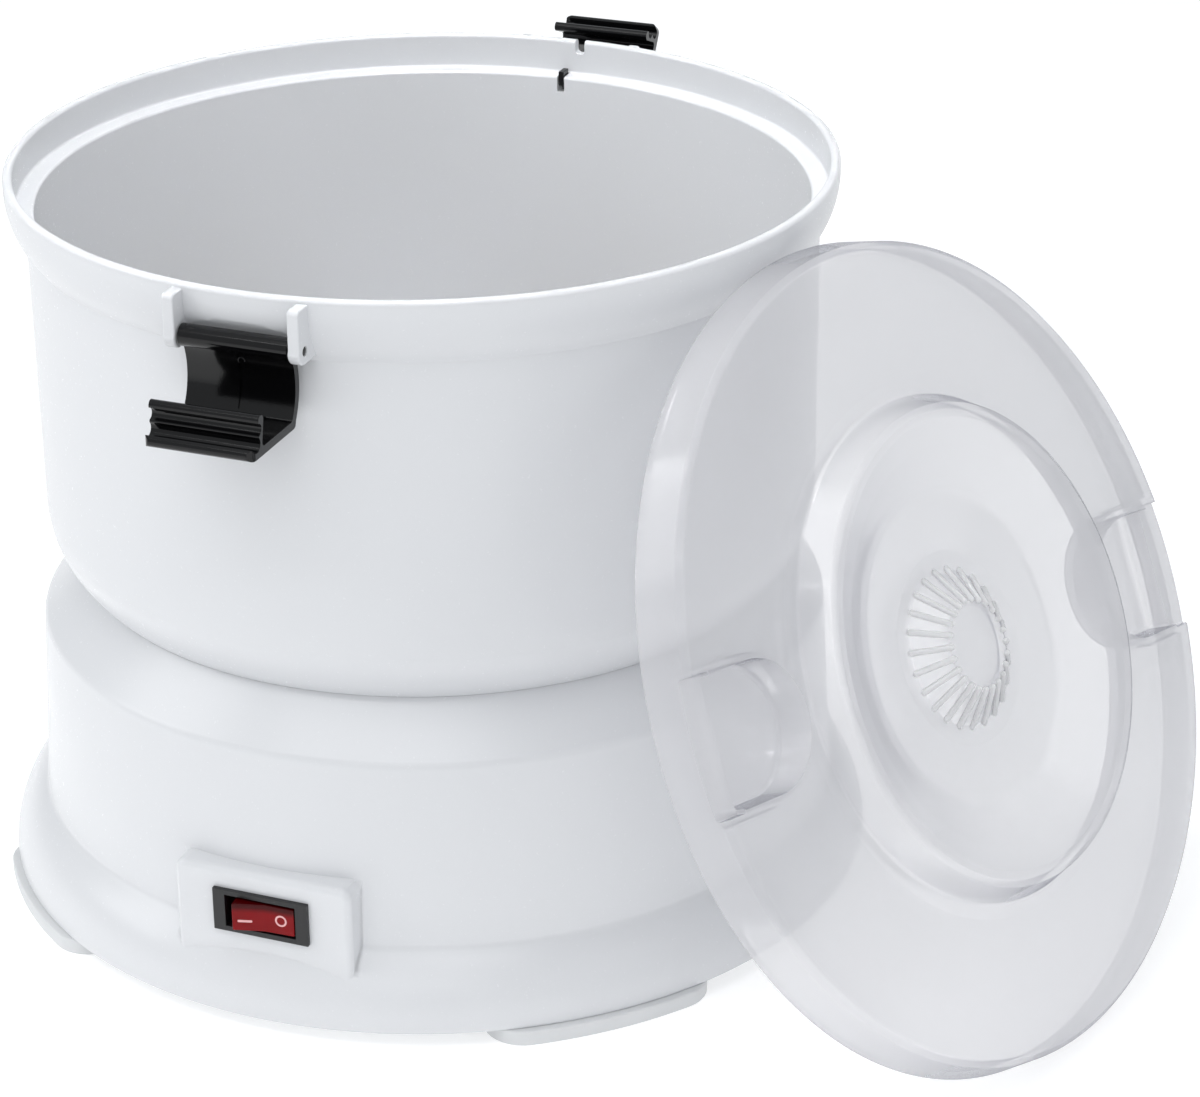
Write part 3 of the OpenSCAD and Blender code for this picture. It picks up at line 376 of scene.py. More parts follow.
# %% [markdown]
# First every solid of the packed model gets its finish, the hidden ones too, because a part that is taken
# apart should look right as well. The casings that are built again below are then shown instead.

# %% Finishes for every solid
finishes = {
    white: ["base_housing", "tub", "rod_cover", "peeling_disc", "disc_nut"],
    black: ["front_latch", "rear_latch", "interlock_rod"],
    clear: ["lid"],
    foot_grey: ["feet"],
    cover_grey: ["bottom_cover"],
    bezel_grey: ["switch_body"],
    switch_black: ["safety_switch"],
    rubber_black: ["cord_inlet", "spindle_seal", "tub_seal"],
    nylon: ["motor_fan", "idler_gear", "drive_wheel"],
    red: ["switch_rocker", "switch_plunger"],
    steel: ["cover_screws", "motor_screws", "plate_screws", "idler_pin", "motor_shaft", "spindle",
            "spindle_clip", "drive_pin", "front_latch_pin", "rear_latch_pin", "rod_spring"],
    zinc: ["motor_case", "gear_plate"],
    brass: ["motor_pinion", "lower_bush", "upper_bush"],
    copper: ["motor_rotor"],
    grit_dark: ["disc_grit"],
}
for finish, names in finishes.items():
    for name in names:
        slots = nodes[name].material_slots
        for slot in slots:
            slot.material = finish
        if not slots:
            nodes[name].data.materials.append(finish)
dressed = {name for names in finishes.values() for name in names}
print("finished", len(dressed), "of", len(nodes), "pieces", sorted(set(nodes) - dressed))

# %% [markdown]
# Mouldings have no sharp corners, and those small radii are what catches the light. The first helpers
# draw an outline: with rounded corners, with arcs, and with extra points on its long sides, because very
# long thin faces shade badly. Sizes are written in millimetres, as on a drawing.


# %% Outlines
def rounded(corners, steps=5):
    """An outline whose corners (x, y, radius) are rounded."""
    points = []
    for i, (x, y, radius) in enumerate(corners):
        here = Vector((x, y))
        if radius == 0:
            points.append(here)
            continue
        back = (Vector(corners[i - 1][:2]) - here).normalized()
        ahead = (Vector(corners[(i + 1) % len(corners)][:2]) - here).normalized()
        half = back.angle(ahead) / 2
        centre = here + (back + ahead).normalized() * radius / math.sin(half)
        first = here + back * radius / math.tan(half) - centre
        last = here + ahead * radius / math.tan(half) - centre
        sweep = math.remainder(math.atan2(last.y, last.x) - math.atan2(first.y, first.x), 2 * math.pi)
        start = math.atan2(first.y, first.x)
        for k in range(steps + 1):
            angle = start + sweep * k / steps
            points.append(centre + radius * Vector((math.cos(angle), math.sin(angle))))
    return points


def arc(x, y, radius, first, last, steps=14):
    """Points on an arc, as corners with no radius of their own; angles in degrees."""
    angles = [math.radians(first + (last - first) * k / steps) for k in range(steps + 1)]
    return [(x + radius * math.cos(a), y + radius * math.sin(a), 0) for a in angles]


def divided(points, longest):
    """The closed outline with extra points on its long sides."""
    dense = []
    for i, here in enumerate(points):
        ahead = points[(i + 1) % len(points)]
        count = max(1, math.ceil((ahead - here).length / longest))
        dense += [here.lerp(ahead, k / count) for k in range(count)]
    return dense


print("a square with round corners has", len(rounded([(0, 0, 1), (9, 0, 1), (9, 9, 1), (0, 9, 1)])), "points")

# %% [markdown]
# An outline becomes a solid in one of two ways, as in a workshop: it is turned round an axis, as on a
# lathe, or pushed along one, as through a die. Both build one closed mesh whose faces point outwards, and
# points that meet at the axis are merged.


# %% Solids
def solid(name, points, faces):
    """A closed mesh with its faces pointing outwards; points are in millimetres."""
    mesh = bpy.data.meshes.new(name)
    mesh.from_pydata([Vector(p) * mm for p in points], [], faces)
    shape = bmesh.new()
    shape.from_mesh(mesh)
    bmesh.ops.remove_doubles(shape, verts=shape.verts, dist=0.002 * mm)
    bmesh.ops.dissolve_degenerate(shape, edges=shape.edges, dist=0.001 * mm)
    bmesh.ops.recalc_face_normals(shape, faces=shape.faces)
    shape.to_mesh(mesh)
    shape.free()
    piece = bpy.data.objects.new(name, mesh)
    scene.collection.objects.link(piece)
    return piece


def turned(name, outline, around=320):
    """A ring or disc turned round Z from an outline of (radius, height)."""
    count = len(outline)
    points = [
        (r * math.cos(2 * math.pi * k / around), r * math.sin(2 * math.pi * k / around), h)
        for k in range(around) for r, h in outline
    ]
    faces = []
    for k in range(around):
        for i in range(count):
            j, n = (i + 1) % count, (k + 1) % around
            if outline[i][0] > 0 or outline[j][0] > 0:
                faces.append((k * count + i, k * count + j, n * count + j, n * count + i))
    return solid(name, points, faces)


def pushed(name, outline, first, last, along="x"):
    """A plate of an outline, pushed along an axis from one place to another."""
    order = {"x": lambda a, b, c: (c, a, b), "y": lambda a, b, c: (a, c, b), "z": lambda a, b, c: (a, b, c)}
    count = len(outline)
    points = [order[along](a, b, c) for c in (first, last) for a, b in outline]
    faces = [tuple(range(count)), tuple(range(2 * count - 1, count - 1, -1))]
    faces += [(i, (i + 1) % count, count + (i + 1) % count, count + i) for i in range(count)]
    return solid(name, points, faces)


def block(name, low, high):
    """A plain cutting block between two corners."""
    outline = [(low[0], low[1]), (high[0], low[1]), (high[0], high[1]), (low[0], high[1])]
    return pushed(name, outline, low[2], high[2], "z")


print("solids are drawn in millimetres and built in metres,", mm, "m each")

# %% [markdown]
# Shapes are cut and joined with exact booleans, because they leave a clean closed mesh. A modifier is
# settled at once, so that each piece stays plain mesh.


# %% Cutting and joining
def settle(piece):
    """Turns a piece's modifiers into plain mesh."""
    shaped = piece.evaluated_get(bpy.context.evaluated_depsgraph_get())
    mesh = bpy.data.meshes.new_from_object(shaped)
    piece.modifiers.clear()
    piece.data = mesh
    mesh.name = piece.name
    return piece


def carve(piece, tool, how="DIFFERENCE"):
    """Cuts a shape out of a piece, or adds it, and throws the tool away."""
    modifier = piece.modifiers.new("carve", "BOOLEAN")
    modifier.operation, modifier.solver, modifier.object = how, "EXACT", tool
    settle(piece)
    bpy.data.objects.remove(tool)
    return piece


def joined(piece, *others):
    """Puts loose shapes into one mesh without fusing them."""
    shape = bmesh.new()
    for part in (piece, *others):
        shape.from_mesh(part.data)
    shape.to_mesh(piece.data)
    shape.free()
    for part in others:
        bpy.data.objects.remove(part)
    return piece


print("a piece is cut with", carve.__name__, "and put together with", joined.__name__)

# %% [markdown]
# The edges that a cut leaves are rounded last. Only edges sharper than a given angle get a bevel weight,
# so the facets of a round wall stay as they are. Inner corners can be left out, which keeps a wall that
# a moving piece runs along where it is.


# %% Rounding
def soften(piece, radius, angle=35, steps=3, inner=True):
    """Rounds the edges that are sharper than an angle, with or without the inner corners."""
    shape = bmesh.new()
    shape.from_mesh(piece.data)
    layers = shape.edges.layers.float
    weight = layers.get("bevel_weight_edge") or layers.new("bevel_weight_edge")
    for edge in shape.edges:
        sharp = edge.is_manifold and edge.calc_face_angle() > math.radians(angle)
        edge[weight] = float(sharp and (inner or edge.is_convex))
    shape.to_mesh(piece.data)
    shape.free()
    modifier = piece.modifiers.new("soften", "BEVEL")
    modifier.limit_method, modifier.width, modifier.segments = "WEIGHT", radius * mm, steps
    return settle(piece)


print("edges are rounded above", soften.__defaults__[0], "degrees unless a piece needs another angle")

# %% [markdown]
# A few small pieces keep their packed shape. A packed mesh is loose triangles, so a copy of it is merged
# into clean faces before anything is cut or rounded. Shapes are placed by moving their points, and each
# object itself stays at the origin.


# %% Packed copies and places
def solid_copy(node, name):
    """A copy of a packed solid whose loose triangles are merged."""
    piece = bpy.data.objects.new(name, nodes[node].data.copy())
    scene.collection.objects.link(piece)
    shape = bmesh.new()
    shape.from_mesh(piece.data)
    bmesh.ops.remove_doubles(shape, verts=shape.verts, dist=0.003 * mm)
    bmesh.ops.dissolve_limit(
        shape, angle_limit=math.radians(0.2), verts=shape.verts, edges=shape.edges
    )
    shape.to_mesh(piece.data)
    shape.free()
    return piece


def placed(piece, matrix):
    """Moves a shape's points and leaves its object where it is."""
    piece.data.transform(matrix)
    return piece


print("up to", max(len(node.data.polygons) for node in nodes.values()), "triangles in a packed piece")

# %% [markdown]
# A finished shape is dressed: it gets its material, smooth shading that stays crisp at real edges, and the
# body that carries it, and the packed node that it stands for is hidden.


# %% Dressing a piece
def dress(piece, finish, body, slot_name, *stands_for, crease=32):
    """Gives a finished shape its material, its smooth shading, and the body that carries it."""
    mesh = piece.data
    mesh.materials.clear()
    mesh.materials.append(finish)
    mesh.polygons.foreach_set("material_index", [0] * len(mesh.polygons))
    mesh.polygons.foreach_set("use_smooth", [True] * len(mesh.polygons))
    mesh.set_sharp_from_angle(angle=math.radians(crease))
    modifier = piece.modifiers.new("flats", "WEIGHTED_NORMAL")
    modifier.keep_sharp, modifier.weight = True, 100
    settle(piece)
    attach(piece, body)
    if stands_for:
        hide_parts(*stands_for)
    print(piece.name, len(piece.data.polygons), "faces, rides on", body)


# %% [markdown]
# The tub is one deep moulding: a rim with a ledge for the lid, a flare down to the straight wall, a round
# corner into the floor, and a collar round the spindle. All of that is round, so it is turned from a
# single outline that runs down the outside and back up the inside.

# %% Tub
wall_r, wall_in, rim_r, rim_z = 119.5, 116.7, 125.4, 229
bend_r, bend_z = 86.2, 126
tub_corners = (
    [(103.5, 103, 0.3), (103.5, 101.3, 0.3)]
    + arc(bend_r, bend_z, 33.42, -48.2, -15, 10)
    + arc(bend_r, bend_z, 33.3, -14.4, 0, 6)
    + [(wall_r, 209.1, 0.6)]
    + arc(98.4, 226, 27, -37.8, -3, 12)
    + [(rim_r, rim_z, 1.3), (122.4, rim_z, 1.2), (122.4, 218, 0.8), (wall_in, 218, 0.9)]
    + arc(bend_r, bend_z, 30.5, 0, -41.5, 10)
    + [(20.1, 105.8, 0.8), (20.1, 111.3, 0.6), (17.4, 111.3, 0.6), (17.4, 103, 0.3)]
    + [(97.8, 103, 0), (97.8, 97.1, 0.4), (100.6, 97.1, 0.4), (100.6, 103, 0)]
)
tub = turned("tub_shell", divided(rounded(tub_corners), 8))
print("tub outline has", len(tub_corners), "corners")

# %% [markdown]
# Each latch hangs between two ears that grow out of the rim. On a mould they would be pockets in its side,
# so here too they are plain plates with a round end, cut to the rim's inner wall and fused on. A recess
# between them lets the barrel of the latch turn, and one hole goes through both ears.

# %% Hinge ears
pin_y, pin_z, ear_in, ear_out, hole_r = 126.4, 215, 17.1, 20.6, 1.45
ear_side = rounded(
    [(-118, 227.5, 0), (-129.9, 227.5, 1.5)]
    + [(-129.9, 216, 0)]
    + arc(-pin_y, pin_z, 3.9, 180, 270, 10)
    + [(-118, 211.1, 0)]
)
rim_inside = [(0, 190), (118, 190), (118, 217.9), (124, 217.9), (124, 240), (0, 240)]
recess_side = [(-140, 208), (-wall_r, 208), (-wall_r, 211.5), (-125, 220.5), (-140, 220.5)]
hole_side = [(p.x - pin_y, p.y + pin_z) for p in rounded(arc(0, 0, hole_r, 0, 345, 23))]
for turn_back in (0, math.pi):
    to_side = Matrix.Rotation(turn_back, 4, "Z")
    for side in (-1, 1):
        ear = pushed("ear", ear_side, side * ear_in, side * ear_out)
        carve(ear, turned("rim_inside", rim_inside, 160))
        soften(ear, 0.5)
        carve(tub, placed(ear, to_side), "UNION")
    carve(tub, placed(pushed("recess", recess_side, -ear_in, ear_in), to_side))
    carve(tub, placed(pushed("pin_hole", hole_side, -25, 25), to_side))
print("four ears hold two pins", 2 * pin_y, "mm apart")

# %% [markdown]
# At the back the rim has a small notch, and below it a slot goes through the wall. The safety rod stands
# behind that slot, so the slot has a narrow way down on the outside.

# %% Notch and slot
notch = rounded([(0.55, 235, 0), (0.55, 224.5, 1.3), (3.85, 224.5, 1.3), (3.85, 235, 0)])
carve(tub, pushed("notch", notch, 121, 131, "y"))
carve(tub, block("slot", (-3.75, 113.7, 212.8), (-1.25, 121.9, 219)))
carve(tub, block("rod_way", (-3.75, 119.8, 210.5), (-1.25, 121.9, 219)))
dress(tub, white, "tub", "white_abs", "tub")

# %% [markdown]
# The base is a second turned moulding: a land that the tub stands in, a sloping shoulder, a nearly
# straight wall and a flared skirt. In front a flat pad with soft edges grows out of the wall, because a
# switch needs a flat face. The pad is a hollow box that is cut to the cavity and fused on.

# %% Base
skirt_r, skirt_z = 108.1, 4.1
base_corners = (
    [(103.4, 93.7, 0), (103.4, 101, 0.5), (108.3, 101, 0.5), (122.9, 86, 4), (125.75, 28.6, 9)]
    + arc(skirt_r, skirt_z, 29.1, 52.5, 2.6, 16)
    + [(137.2, 4.8, 0.5), (135.6, 4.8, 0.3), (134.4, 6.4, 0)]
    + arc(skirt_r, skirt_z, 26.3, 6, 55, 12)
    + [(122.9, 30, 2), (120.1, 84.9, 0.5), (106.8, 98.2, 0.5), (106.2, 98.2, 0), (106.2, 93.7, 0)]
)
base = turned("base_shell", divided(rounded(base_corners), 7))
pad_face, pad_half, pad_low, pad_top, pad_wall, pad_corner = -129.8, 28.4, 14, 49.3, 2.8, 3.4
pad_plan = [(-pad_half, pad_low, 0), (pad_half, pad_low, 0)]
pad_plan += [(pad_half, pad_top, pad_corner), (-pad_half, pad_top, pad_corner)]
pad = soften(pushed("pad", rounded(pad_plan, 8), pad_face, -108, "y"), 2.2, 60, 7)
pad_inside = (pad_wall - pad_half, pad_face + pad_wall, 0), (pad_half - pad_wall, -100, pad_top - pad_wall)
carve(pad, block("pad_inside", *pad_inside))
carve(pad, turned("cavity", [(0, 4), (121.5, 4), (121.5, 60), (0, 60)], 160))
carve(base, pad, "UNION")
carve(base, block("switch_hole", (-13.5, -135, 30), (13.5, -110, 42.2)))
print("the pad is", 2 * pad_half, "mm wide")

# %% [markdown]
# Behind, the foot of the safety rod stands in a pocket of the shoulder that is wide enough for the tub's
# turn. Its walls are a sector between two radii, cut to the outside of the base. The cord's bush sits in
# a hole that follows the lean of the wall.


# %% Rod pocket and cord hole
def sector(name, near, far, first, last, low, high):
    """A block between two radii, two bearings in degrees and two heights."""
    outline = [(x, y) for x, y, _ in arc(0, 0, near, first, last, 20) + arc(0, 0, far, last, first, 20)]
    return pushed(name, outline, low, high, "z")


pocket = sector("pocket_walls", 106.8, 150, 87.2, 107.4, 87.7, 130)
outside = turned("outside", [(0, 60), (124.2, 60), (122.9, 86), (108.3, 101), (0, 101)], 320)
carve(pocket, outside, "INTERSECT")
carve(base, pocket, "UNION")
carve(base, sector("pocket", 109.6, 150, 88.7, 105.9, 90.5, 130))
inlet_turn, inlet_out, inlet_z, wall_lean = math.radians(125), 125.2, 40, 2.85
inlet = turned("cord_hole", [(0, -20), (5.05, -20), (5.05, 20), (0, 20)], 64)
lean_out = Matrix.Rotation(math.radians(90 - wall_lean), 4, "Y")
move_out = Matrix.Translation((inlet_out * mm, 0, inlet_z * mm))
carve(base, placed(inlet, Matrix.Rotation(inlet_turn, 4, "Z") @ move_out @ lean_out))
print("the cord's bush points", round(math.degrees(inlet_turn)), "degrees round from the right")

# %% [markdown]
# Inside the base are the deck, the bearing tower and the screw posts. They are taken from the packed solid
# as they are, because nobody sees their edges, and join the new shell where the land ends.

# %% Inner works
works = solid_copy("base_housing", "inner_works")
carve(works, turned("core", [(0, -5), (103.395, -5), (103.395, 130), (0, 130)], 240), "INTERSECT")
joined(base, works)
dress(base, white, "base", "white_abs", "base_housing")

# %% [markdown]
# What repeats is made by a node tree. A pattern is a graph with named inputs, so one tree can serve
# several pieces. It ends by making the copies real and giving them a material, and running it on a piece
# leaves plain mesh.


# %% Patterns
class Pattern(Graph):
    """A geometry tree with named inputs."""

    def __init__(self, name, inputs):
        super().__init__(bpy.data.node_groups.new(name, "GeometryNodeTree"))
        face = self.tree.interface
        face.new_socket("Geometry", in_out="INPUT", socket_type="NodeSocketGeometry")
        for label, kind, value in inputs:
            socket = face.new_socket(label, in_out="INPUT", socket_type="NodeSocket" + kind)
            socket.default_value = value
        face.new_socket("Geometry", in_out="OUTPUT", socket_type="NodeSocketGeometry")
        self.given = self.make("NodeGroupInput", {}, {})

    def input(self, name):
        return Signal(self, self.given.outputs[name])

    def done(self, geometry, finish):
        solid_parts = self.make("GeometryNodeRealizeInstances", {}, {"Geometry": geometry}, 0)
        coloured = self.make("GeometryNodeSetMaterial", {}, {"Geometry": solid_parts, "Material": finish}, 0)
        self.make("NodeGroupOutput", {}, {"Geometry": coloured})

    def grow(self, piece, **values):
        """Runs the tree on a piece and keeps the result as plain mesh."""
        modifier = piece.modifiers.new(self.tree.name, "NODES")
        modifier.node_group = self.tree
        for item in self.tree.interface.items_tree:
            if item.in_out == "INPUT" and item.name in values:
                modifier[item.identifier] = values[item.name]
        return settle(piece)


print("a pattern adds", [name for name in vars(Pattern) if name[0] != "_"])

# %% [markdown]
# The simplest pattern is a ring: the piece is drawn once in its place, and copies are turned about the
# axis by equal steps.


# %% Ring of copies
def ring_of_copies(finish):
    """A tree that sets copies of a piece round the Z axis."""
    ring = Pattern("ring_of_copies", [("Count", "Int", 4), ("First_angle", "Float", 0.0)])
    spots = ring.make("GeometryNodePoints", {}, {"Count": ring.input("Count")}, 0)
    step = ring.make("ShaderNodeMath", {"operation": "DIVIDE"}, {0: 2 * math.pi, 1: ring.input("Count")}, 0)
    index = ring.make("GeometryNodeInputIndex", {}, {}, 0)
    bearing = ring.make("ShaderNodeCombineXYZ", {}, {"Z": index * step + ring.input("First_angle")}, 0)
    sockets = {"Points": spots, "Instance": ring.input("Geometry"), "Rotation": bearing}
    copies = ring.make("GeometryNodeInstanceOnPoints", {}, sockets, 0)
    ring.done(copies, finish)
    return ring


print("pieces are repeated with", ring_of_copies.__name__)

# %% [markdown]
# Four pads of grey rubber stand under the skirt, each a short arc with round ends. One is drawn from four
# arcs, pushed up by its height and softened, and the ring sets it at the four corners.

# %% Feet
foot_out, foot_deep, foot_high, foot_side = 139.5, 24, 4.8, 10.53
cap = foot_deep / 2
cap_x = (foot_out - cap) * math.cos(math.radians(foot_side))
cap_y = (foot_out - cap) * math.sin(math.radians(foot_side))
foot_plan = (
    arc(0, 0, foot_out, -foot_side, foot_side, 18)
    + arc(cap_x, cap_y, cap, foot_side, 180 + foot_side, 16)[1:-1]
    + arc(0, 0, foot_out - foot_deep, foot_side, -foot_side, 14)
    + arc(cap_x, -cap_y, cap, 180 - foot_side, 360 - foot_side, 16)[1:-1]
)
foot = pushed("foot", [(x, y) for x, y, _ in foot_plan], 0, foot_high, "z")
soften(foot, 0.6, 40, 4)
feet = ring_of_copies(foot_grey).grow(foot, Count=4, First_angle=math.radians(45))
feet.name = "rubber_feet"
dress(feet, foot_grey, "base", "foot_rubber", "feet")

# %% [markdown]
# Both latches come from one mould: a barrel round the pin, a plate that bows inwards, and a hook whose
# face has three rounded ridges for the thumb. One outline gives the whole shape, pushed along the pin. A
# plate with two round corners trims the hook's outer edge, and a fine line shows where the mould closed.


# %% Latch
def latch(name):
    """A latch that hangs from a pin at the origin, on the -Y side; outline in (outward, up)."""
    bow_x, bow_z, bow_r, plate_t = 17.75, -10.35, 19.35, 2.3
    hook = (
        arc(bow_x, bow_z, bow_r, 152, 210.5, 16)
        + [(1.45, -20.7, 0.7), (19.9, -20.7, 1.2)]
        + arc(19.95, -12.95, 1.5, 185, -17, 10)
        + arc(21.5, -15.2, 1.75, 99, 259, 10)
        + arc(20.45, -17.45, 1.0, 27, -7, 4)
        + arc(22.95, -19.15, 2.15, 139, 337, 12)
        + arc(24.7, -21.5, 1.7, 76, -88, 10)
        + [(-0.5, -23.2, 1.5)]
        + arc(bow_x, bow_z, bow_r + plate_t, 210.5, 152, 16)
    )
    half, barrel_r, below = 16.5, 3.2, -26.5
    piece = pushed(name, [(-p.x, p.y) for p in rounded(hook)], -half, half)
    side = half + 0.01
    trim = rounded([(-side, 8, 0), (side, 8, 0), (side, below, 3), (-side, below, 3)], 8)
    carve(piece, pushed("trim", trim, -30, 10, "z"), "INTERSECT")
    barrel = pushed("barrel", [(-x, z) for x, z, _ in arc(0, 0, barrel_r, 0, 352.5, 47)], -half, half)
    carve(piece, barrel, "UNION")
    soften(piece, 0.3, 38)
    line = arc(bow_x, bow_z, bow_r - 0.6, 160, 208, 14) + arc(bow_x, bow_z, bow_r + 0.45, 208, 160, 14)
    carve(piece, pushed("mould_line", [(-x, z) for x, z, _ in line], -0.35, 0.35))
    dot = pushed("dot", [(0.75 + x, z - 5.7) for x, z, _ in arc(0, 0, 1.1, 0, 345, 23)], 0.75, 1.4, "y")
    ledge = block("ledge", (0.2, -2.9, -20.9), (8.6, -1.4, -20.15))
    return joined(piece, soften(dot, 0.25), soften(ledge, 0.25))


print("both latches come from", latch.__name__)

# %% [markdown]
# Each latch turns on a pin of blackened steel that ends just inside the outer faces of its ears. The
# front latch hangs down, the rear one stands out, and the rear one is the front one turned half round.


# %% Pins and places of the latches
def pin(name):
    """A pin along X, turned from its half outline."""
    half, pin_r = ear_out - 0.3, hole_r - 0.05
    outline = rounded([(0, -half, 0), (pin_r, -half, 0.2), (pin_r, half, 0.2), (0, half, 0)], 3)
    return placed(turned(name, outline, 32), Matrix.Rotation(math.pi / 2, 4, "Y"))


rear_swing = -58
hang_front = Matrix.Translation((0, -pin_y * mm, pin_z * mm))
turn_rear = Matrix.Rotation(math.pi, 4, "Z") @ hang_front
rear_lift = Matrix.Rotation(math.radians(rear_swing), 4, "X")
dress(placed(latch("front_catch"), hang_front), black, "front_latch", "black_plastic", "front_latch")
dress(placed(latch("rear_catch"), turn_rear @ rear_lift), black, "rear_latch", "black_plastic", "rear_latch")
dress(placed(pin("front_pin"), hang_front), black, "tub", "steel", "front_latch_pin")
dress(placed(pin("rear_pin"), turn_rear), black, "tub", "steel", "rear_latch_pin")
print("the rear latch is swung by", rear_swing, "degrees")

# %% [markdown]
# The lid is a thin clear moulding, so both its skins matter. One outline holds the outside from the grip
# in the middle, over the dish and the raised ring, to the free edge, and the inside back again.

# %% Lid outline
lid_outside = [
    (0, 19.2, 0), (11.2, 19.7, 2), (13.4, 20, 0.6), (22.6, 13.4, 1.2), (28.4, 13.8, 5), (44.7, 16.5, 14),
    (58.2, 22, 16), (65.3, 24.7, 2.5), (67.7, 25, 1), (69.7, 24, 1), (73.7, 15.6, 1.6), (78, 15.2, 3),
    (117.4, 14, 1.2), (119.3, 12.2, 0.8), (121.8, 0.02, 0.4),
]
lid_inside = [
    (0, 17, 0), (11.4, 17.4, 2), (12.5, 17.5, 0.6), (21.8, 11.1, 1.5), (28.7, 11.5, 6), (45.4, 14.3, 14),
    (59, 19.8, 14), (65.7, 22.5, 1.2), (67.1, 22.7, 0.4), (68, 22.3, 0.4), (72, 13.7, 1.6), (77.8, 13, 3),
    (116.3, 11.8, 0.8), (117.1, 11.4, 0.3), (119.5, 0.02, 0.3),
]
lid = turned("lid_shell", divided(rounded(lid_outside + lid_inside[::-1], 5), 3.2), 360)
print("the lid's outline has", len(lid_outside) + len(lid_inside), "corners")

# %% [markdown]
# The grip is a low cone with ribs for the fingers. Each rib is a round bar that lies on the slope of the
# cone. It could be cut into the lid, but as a piece of its own it can have a denser film, and a ring
# pattern copies it all round.

# %% Grip ribs
flutes, rib_r, slope_run, slope_drop = 24, 0.9, 9.2, 6.6
rib_tilt = math.atan2(slope_drop, slope_run)
rib_long = math.hypot(slope_drop, slope_run) / 2 + 0.4
rib_ends = arc(0, rib_long, rib_r, 90, 0, 5) + arc(0, -rib_long, rib_r, 0, -90, 5)
rib = turned("rib", [(x, z) for x, z, _ in rib_ends], 16)
placed(rib, Matrix.Translation((18 * mm, 0, 16.9 * mm)) @ Matrix.Rotation(math.pi / 2 + rib_tilt, 4, "Y"))
grip_ribs = ring_of_copies(rib_clear).grow(rib, Count=flutes, First_angle=0.1)
grip_ribs.name = "grip_ribs"
print("the grip has", flutes, "ribs")

# %% [markdown]
# The latches grip the lid in two pockets. Each is a cup with straight sides and a round inner end, a
# little narrower at its bottom so that it leaves the mould. These helpers draw the cup in plan, taper
# it, and cut a shape to the skin of the lid.

# %% Pocket shapes
lid_t, pocket_half, arc_y, bar_y, pocket_low, draft = 2.2, 19.5, 93.5, 110.5, 4, 0.06


def pocket_plan(grow):
    """Straight sides, a round inner end and a straight bar outside."""
    half = pocket_half + grow
    return arc(0, arc_y, half, 0, -180, 30) + [(-half, bar_y + grow, 0), (half, bar_y + grow, 0)]


def tapered(piece, low, high=14, y_middle=97):
    """Narrows a shape towards its lower end, as a cup leaves its mould."""
    for vertex in piece.data.vertices:
        h = vertex.co.z / mm
        share = 1 - draft * max(0, min(1, (high - h) / (high - low)))
        vertex.co.x *= share
        vertex.co.y = y_middle * mm + (vertex.co.y - y_middle * mm) * share
    return piece


def inside_lid(tool):
    """Keeps what lies under the lid's outer skin."""
    skin = [(r, h - 0.03) for r, h, _ in lid_outside[:-1]] + [(121.6, 0.5), (0, 0.5)]
    return carve(tool, turned("lid_body", [Vector(p) for p in skin], 240), "INTERSECT")


def cup(name, grow, low):
    """The pocket's plan, raised from its bottom and tapered."""
    plan = [(x, y) for x, y, _ in pocket_plan(grow)]
    return tapered(pushed(name, plan, low, 40, "z"), low)


print("a pocket is", 2 * pocket_half, "mm wide")

# %% [markdown]
# First the walls of a pocket are added under the lid, with a flat land round it. Then its hollow is cut,
# and the rim is lowered where the latch passes. The second pocket is the same, half a turn on.

# %% Latch pockets
for turn_back in (0, math.pi):
    half_turn = Matrix.Rotation(turn_back, 4, "Z")
    wall_block = inside_lid(soften(cup("pocket_wall", 2, pocket_low - 2), 1.6, 60, 5))
    carve(lid, placed(wall_block, half_turn), "UNION")
    land = inside_lid(block("land", (-pocket_half - lid_t, arc_y, 8.8), (pocket_half + lid_t, 130, 40)))
    carve(lid, placed(land, half_turn), "UNION")
    hollow = soften(cup("pocket_hollow", 0, pocket_low), 1.2, 60, 5)
    carve(lid, placed(hollow, half_turn))
    lowered = soften(block("lowered_rim", (-pocket_half, bar_y - 1, 11), (pocket_half, 140, 40)), 0.5)
    carve(lid, placed(lowered, half_turn))
print("the lid has", len(lid.data.polygons), "faces with its pockets")

# %% [markdown]
# The lid was drawn lying flat. It leans on the rim of the tub with its lower edge on the table: it is
# rolled about its own axis, tipped up, moved out and a little aside, and turned to its bearing.

# %% Lid in place
lid_edge_r, lid_out, lid_slide = 121.8, 177.16, 5
lid_lean, lid_bearing, lid_roll = (math.radians(angle) for angle in (25.319, -15.2, -8.2))
to_lean = (
    Matrix.Rotation(lid_bearing, 4, "Z")
    @ Matrix.Translation((lid_out * mm, lid_slide * mm, lid_edge_r * math.cos(lid_lean) * mm))
    @ Matrix.Rotation(math.pi / 2 - lid_lean, 4, "Y")
    @ Matrix.Rotation(lid_roll, 4, "Z")
)
dress(placed(lid, to_lean), clear, "lid", "clear_lid", "lid", crease=40)
dress(placed(grip_ribs, to_lean), rib_clear, "lid", "clear_lid")

# %% [markdown]
# The switch is a bought part: a dark frame that snaps into the pad, and a red rocker. Both keep their
# packed shapes, because they are right already, and only get their small radii.

# %% Switch
frame_piece = soften(solid_copy("switch_body", "switch_frame"), 0.45, 50)
dress(frame_piece, bezel_grey, "base", "black_plastic", "switch_body")
rocker = soften(solid_copy("switch_rocker", "rocker"), 0.35, 25, 4)
dress(rocker, red, "switch_rocker", "red_rocker", "switch_rocker")
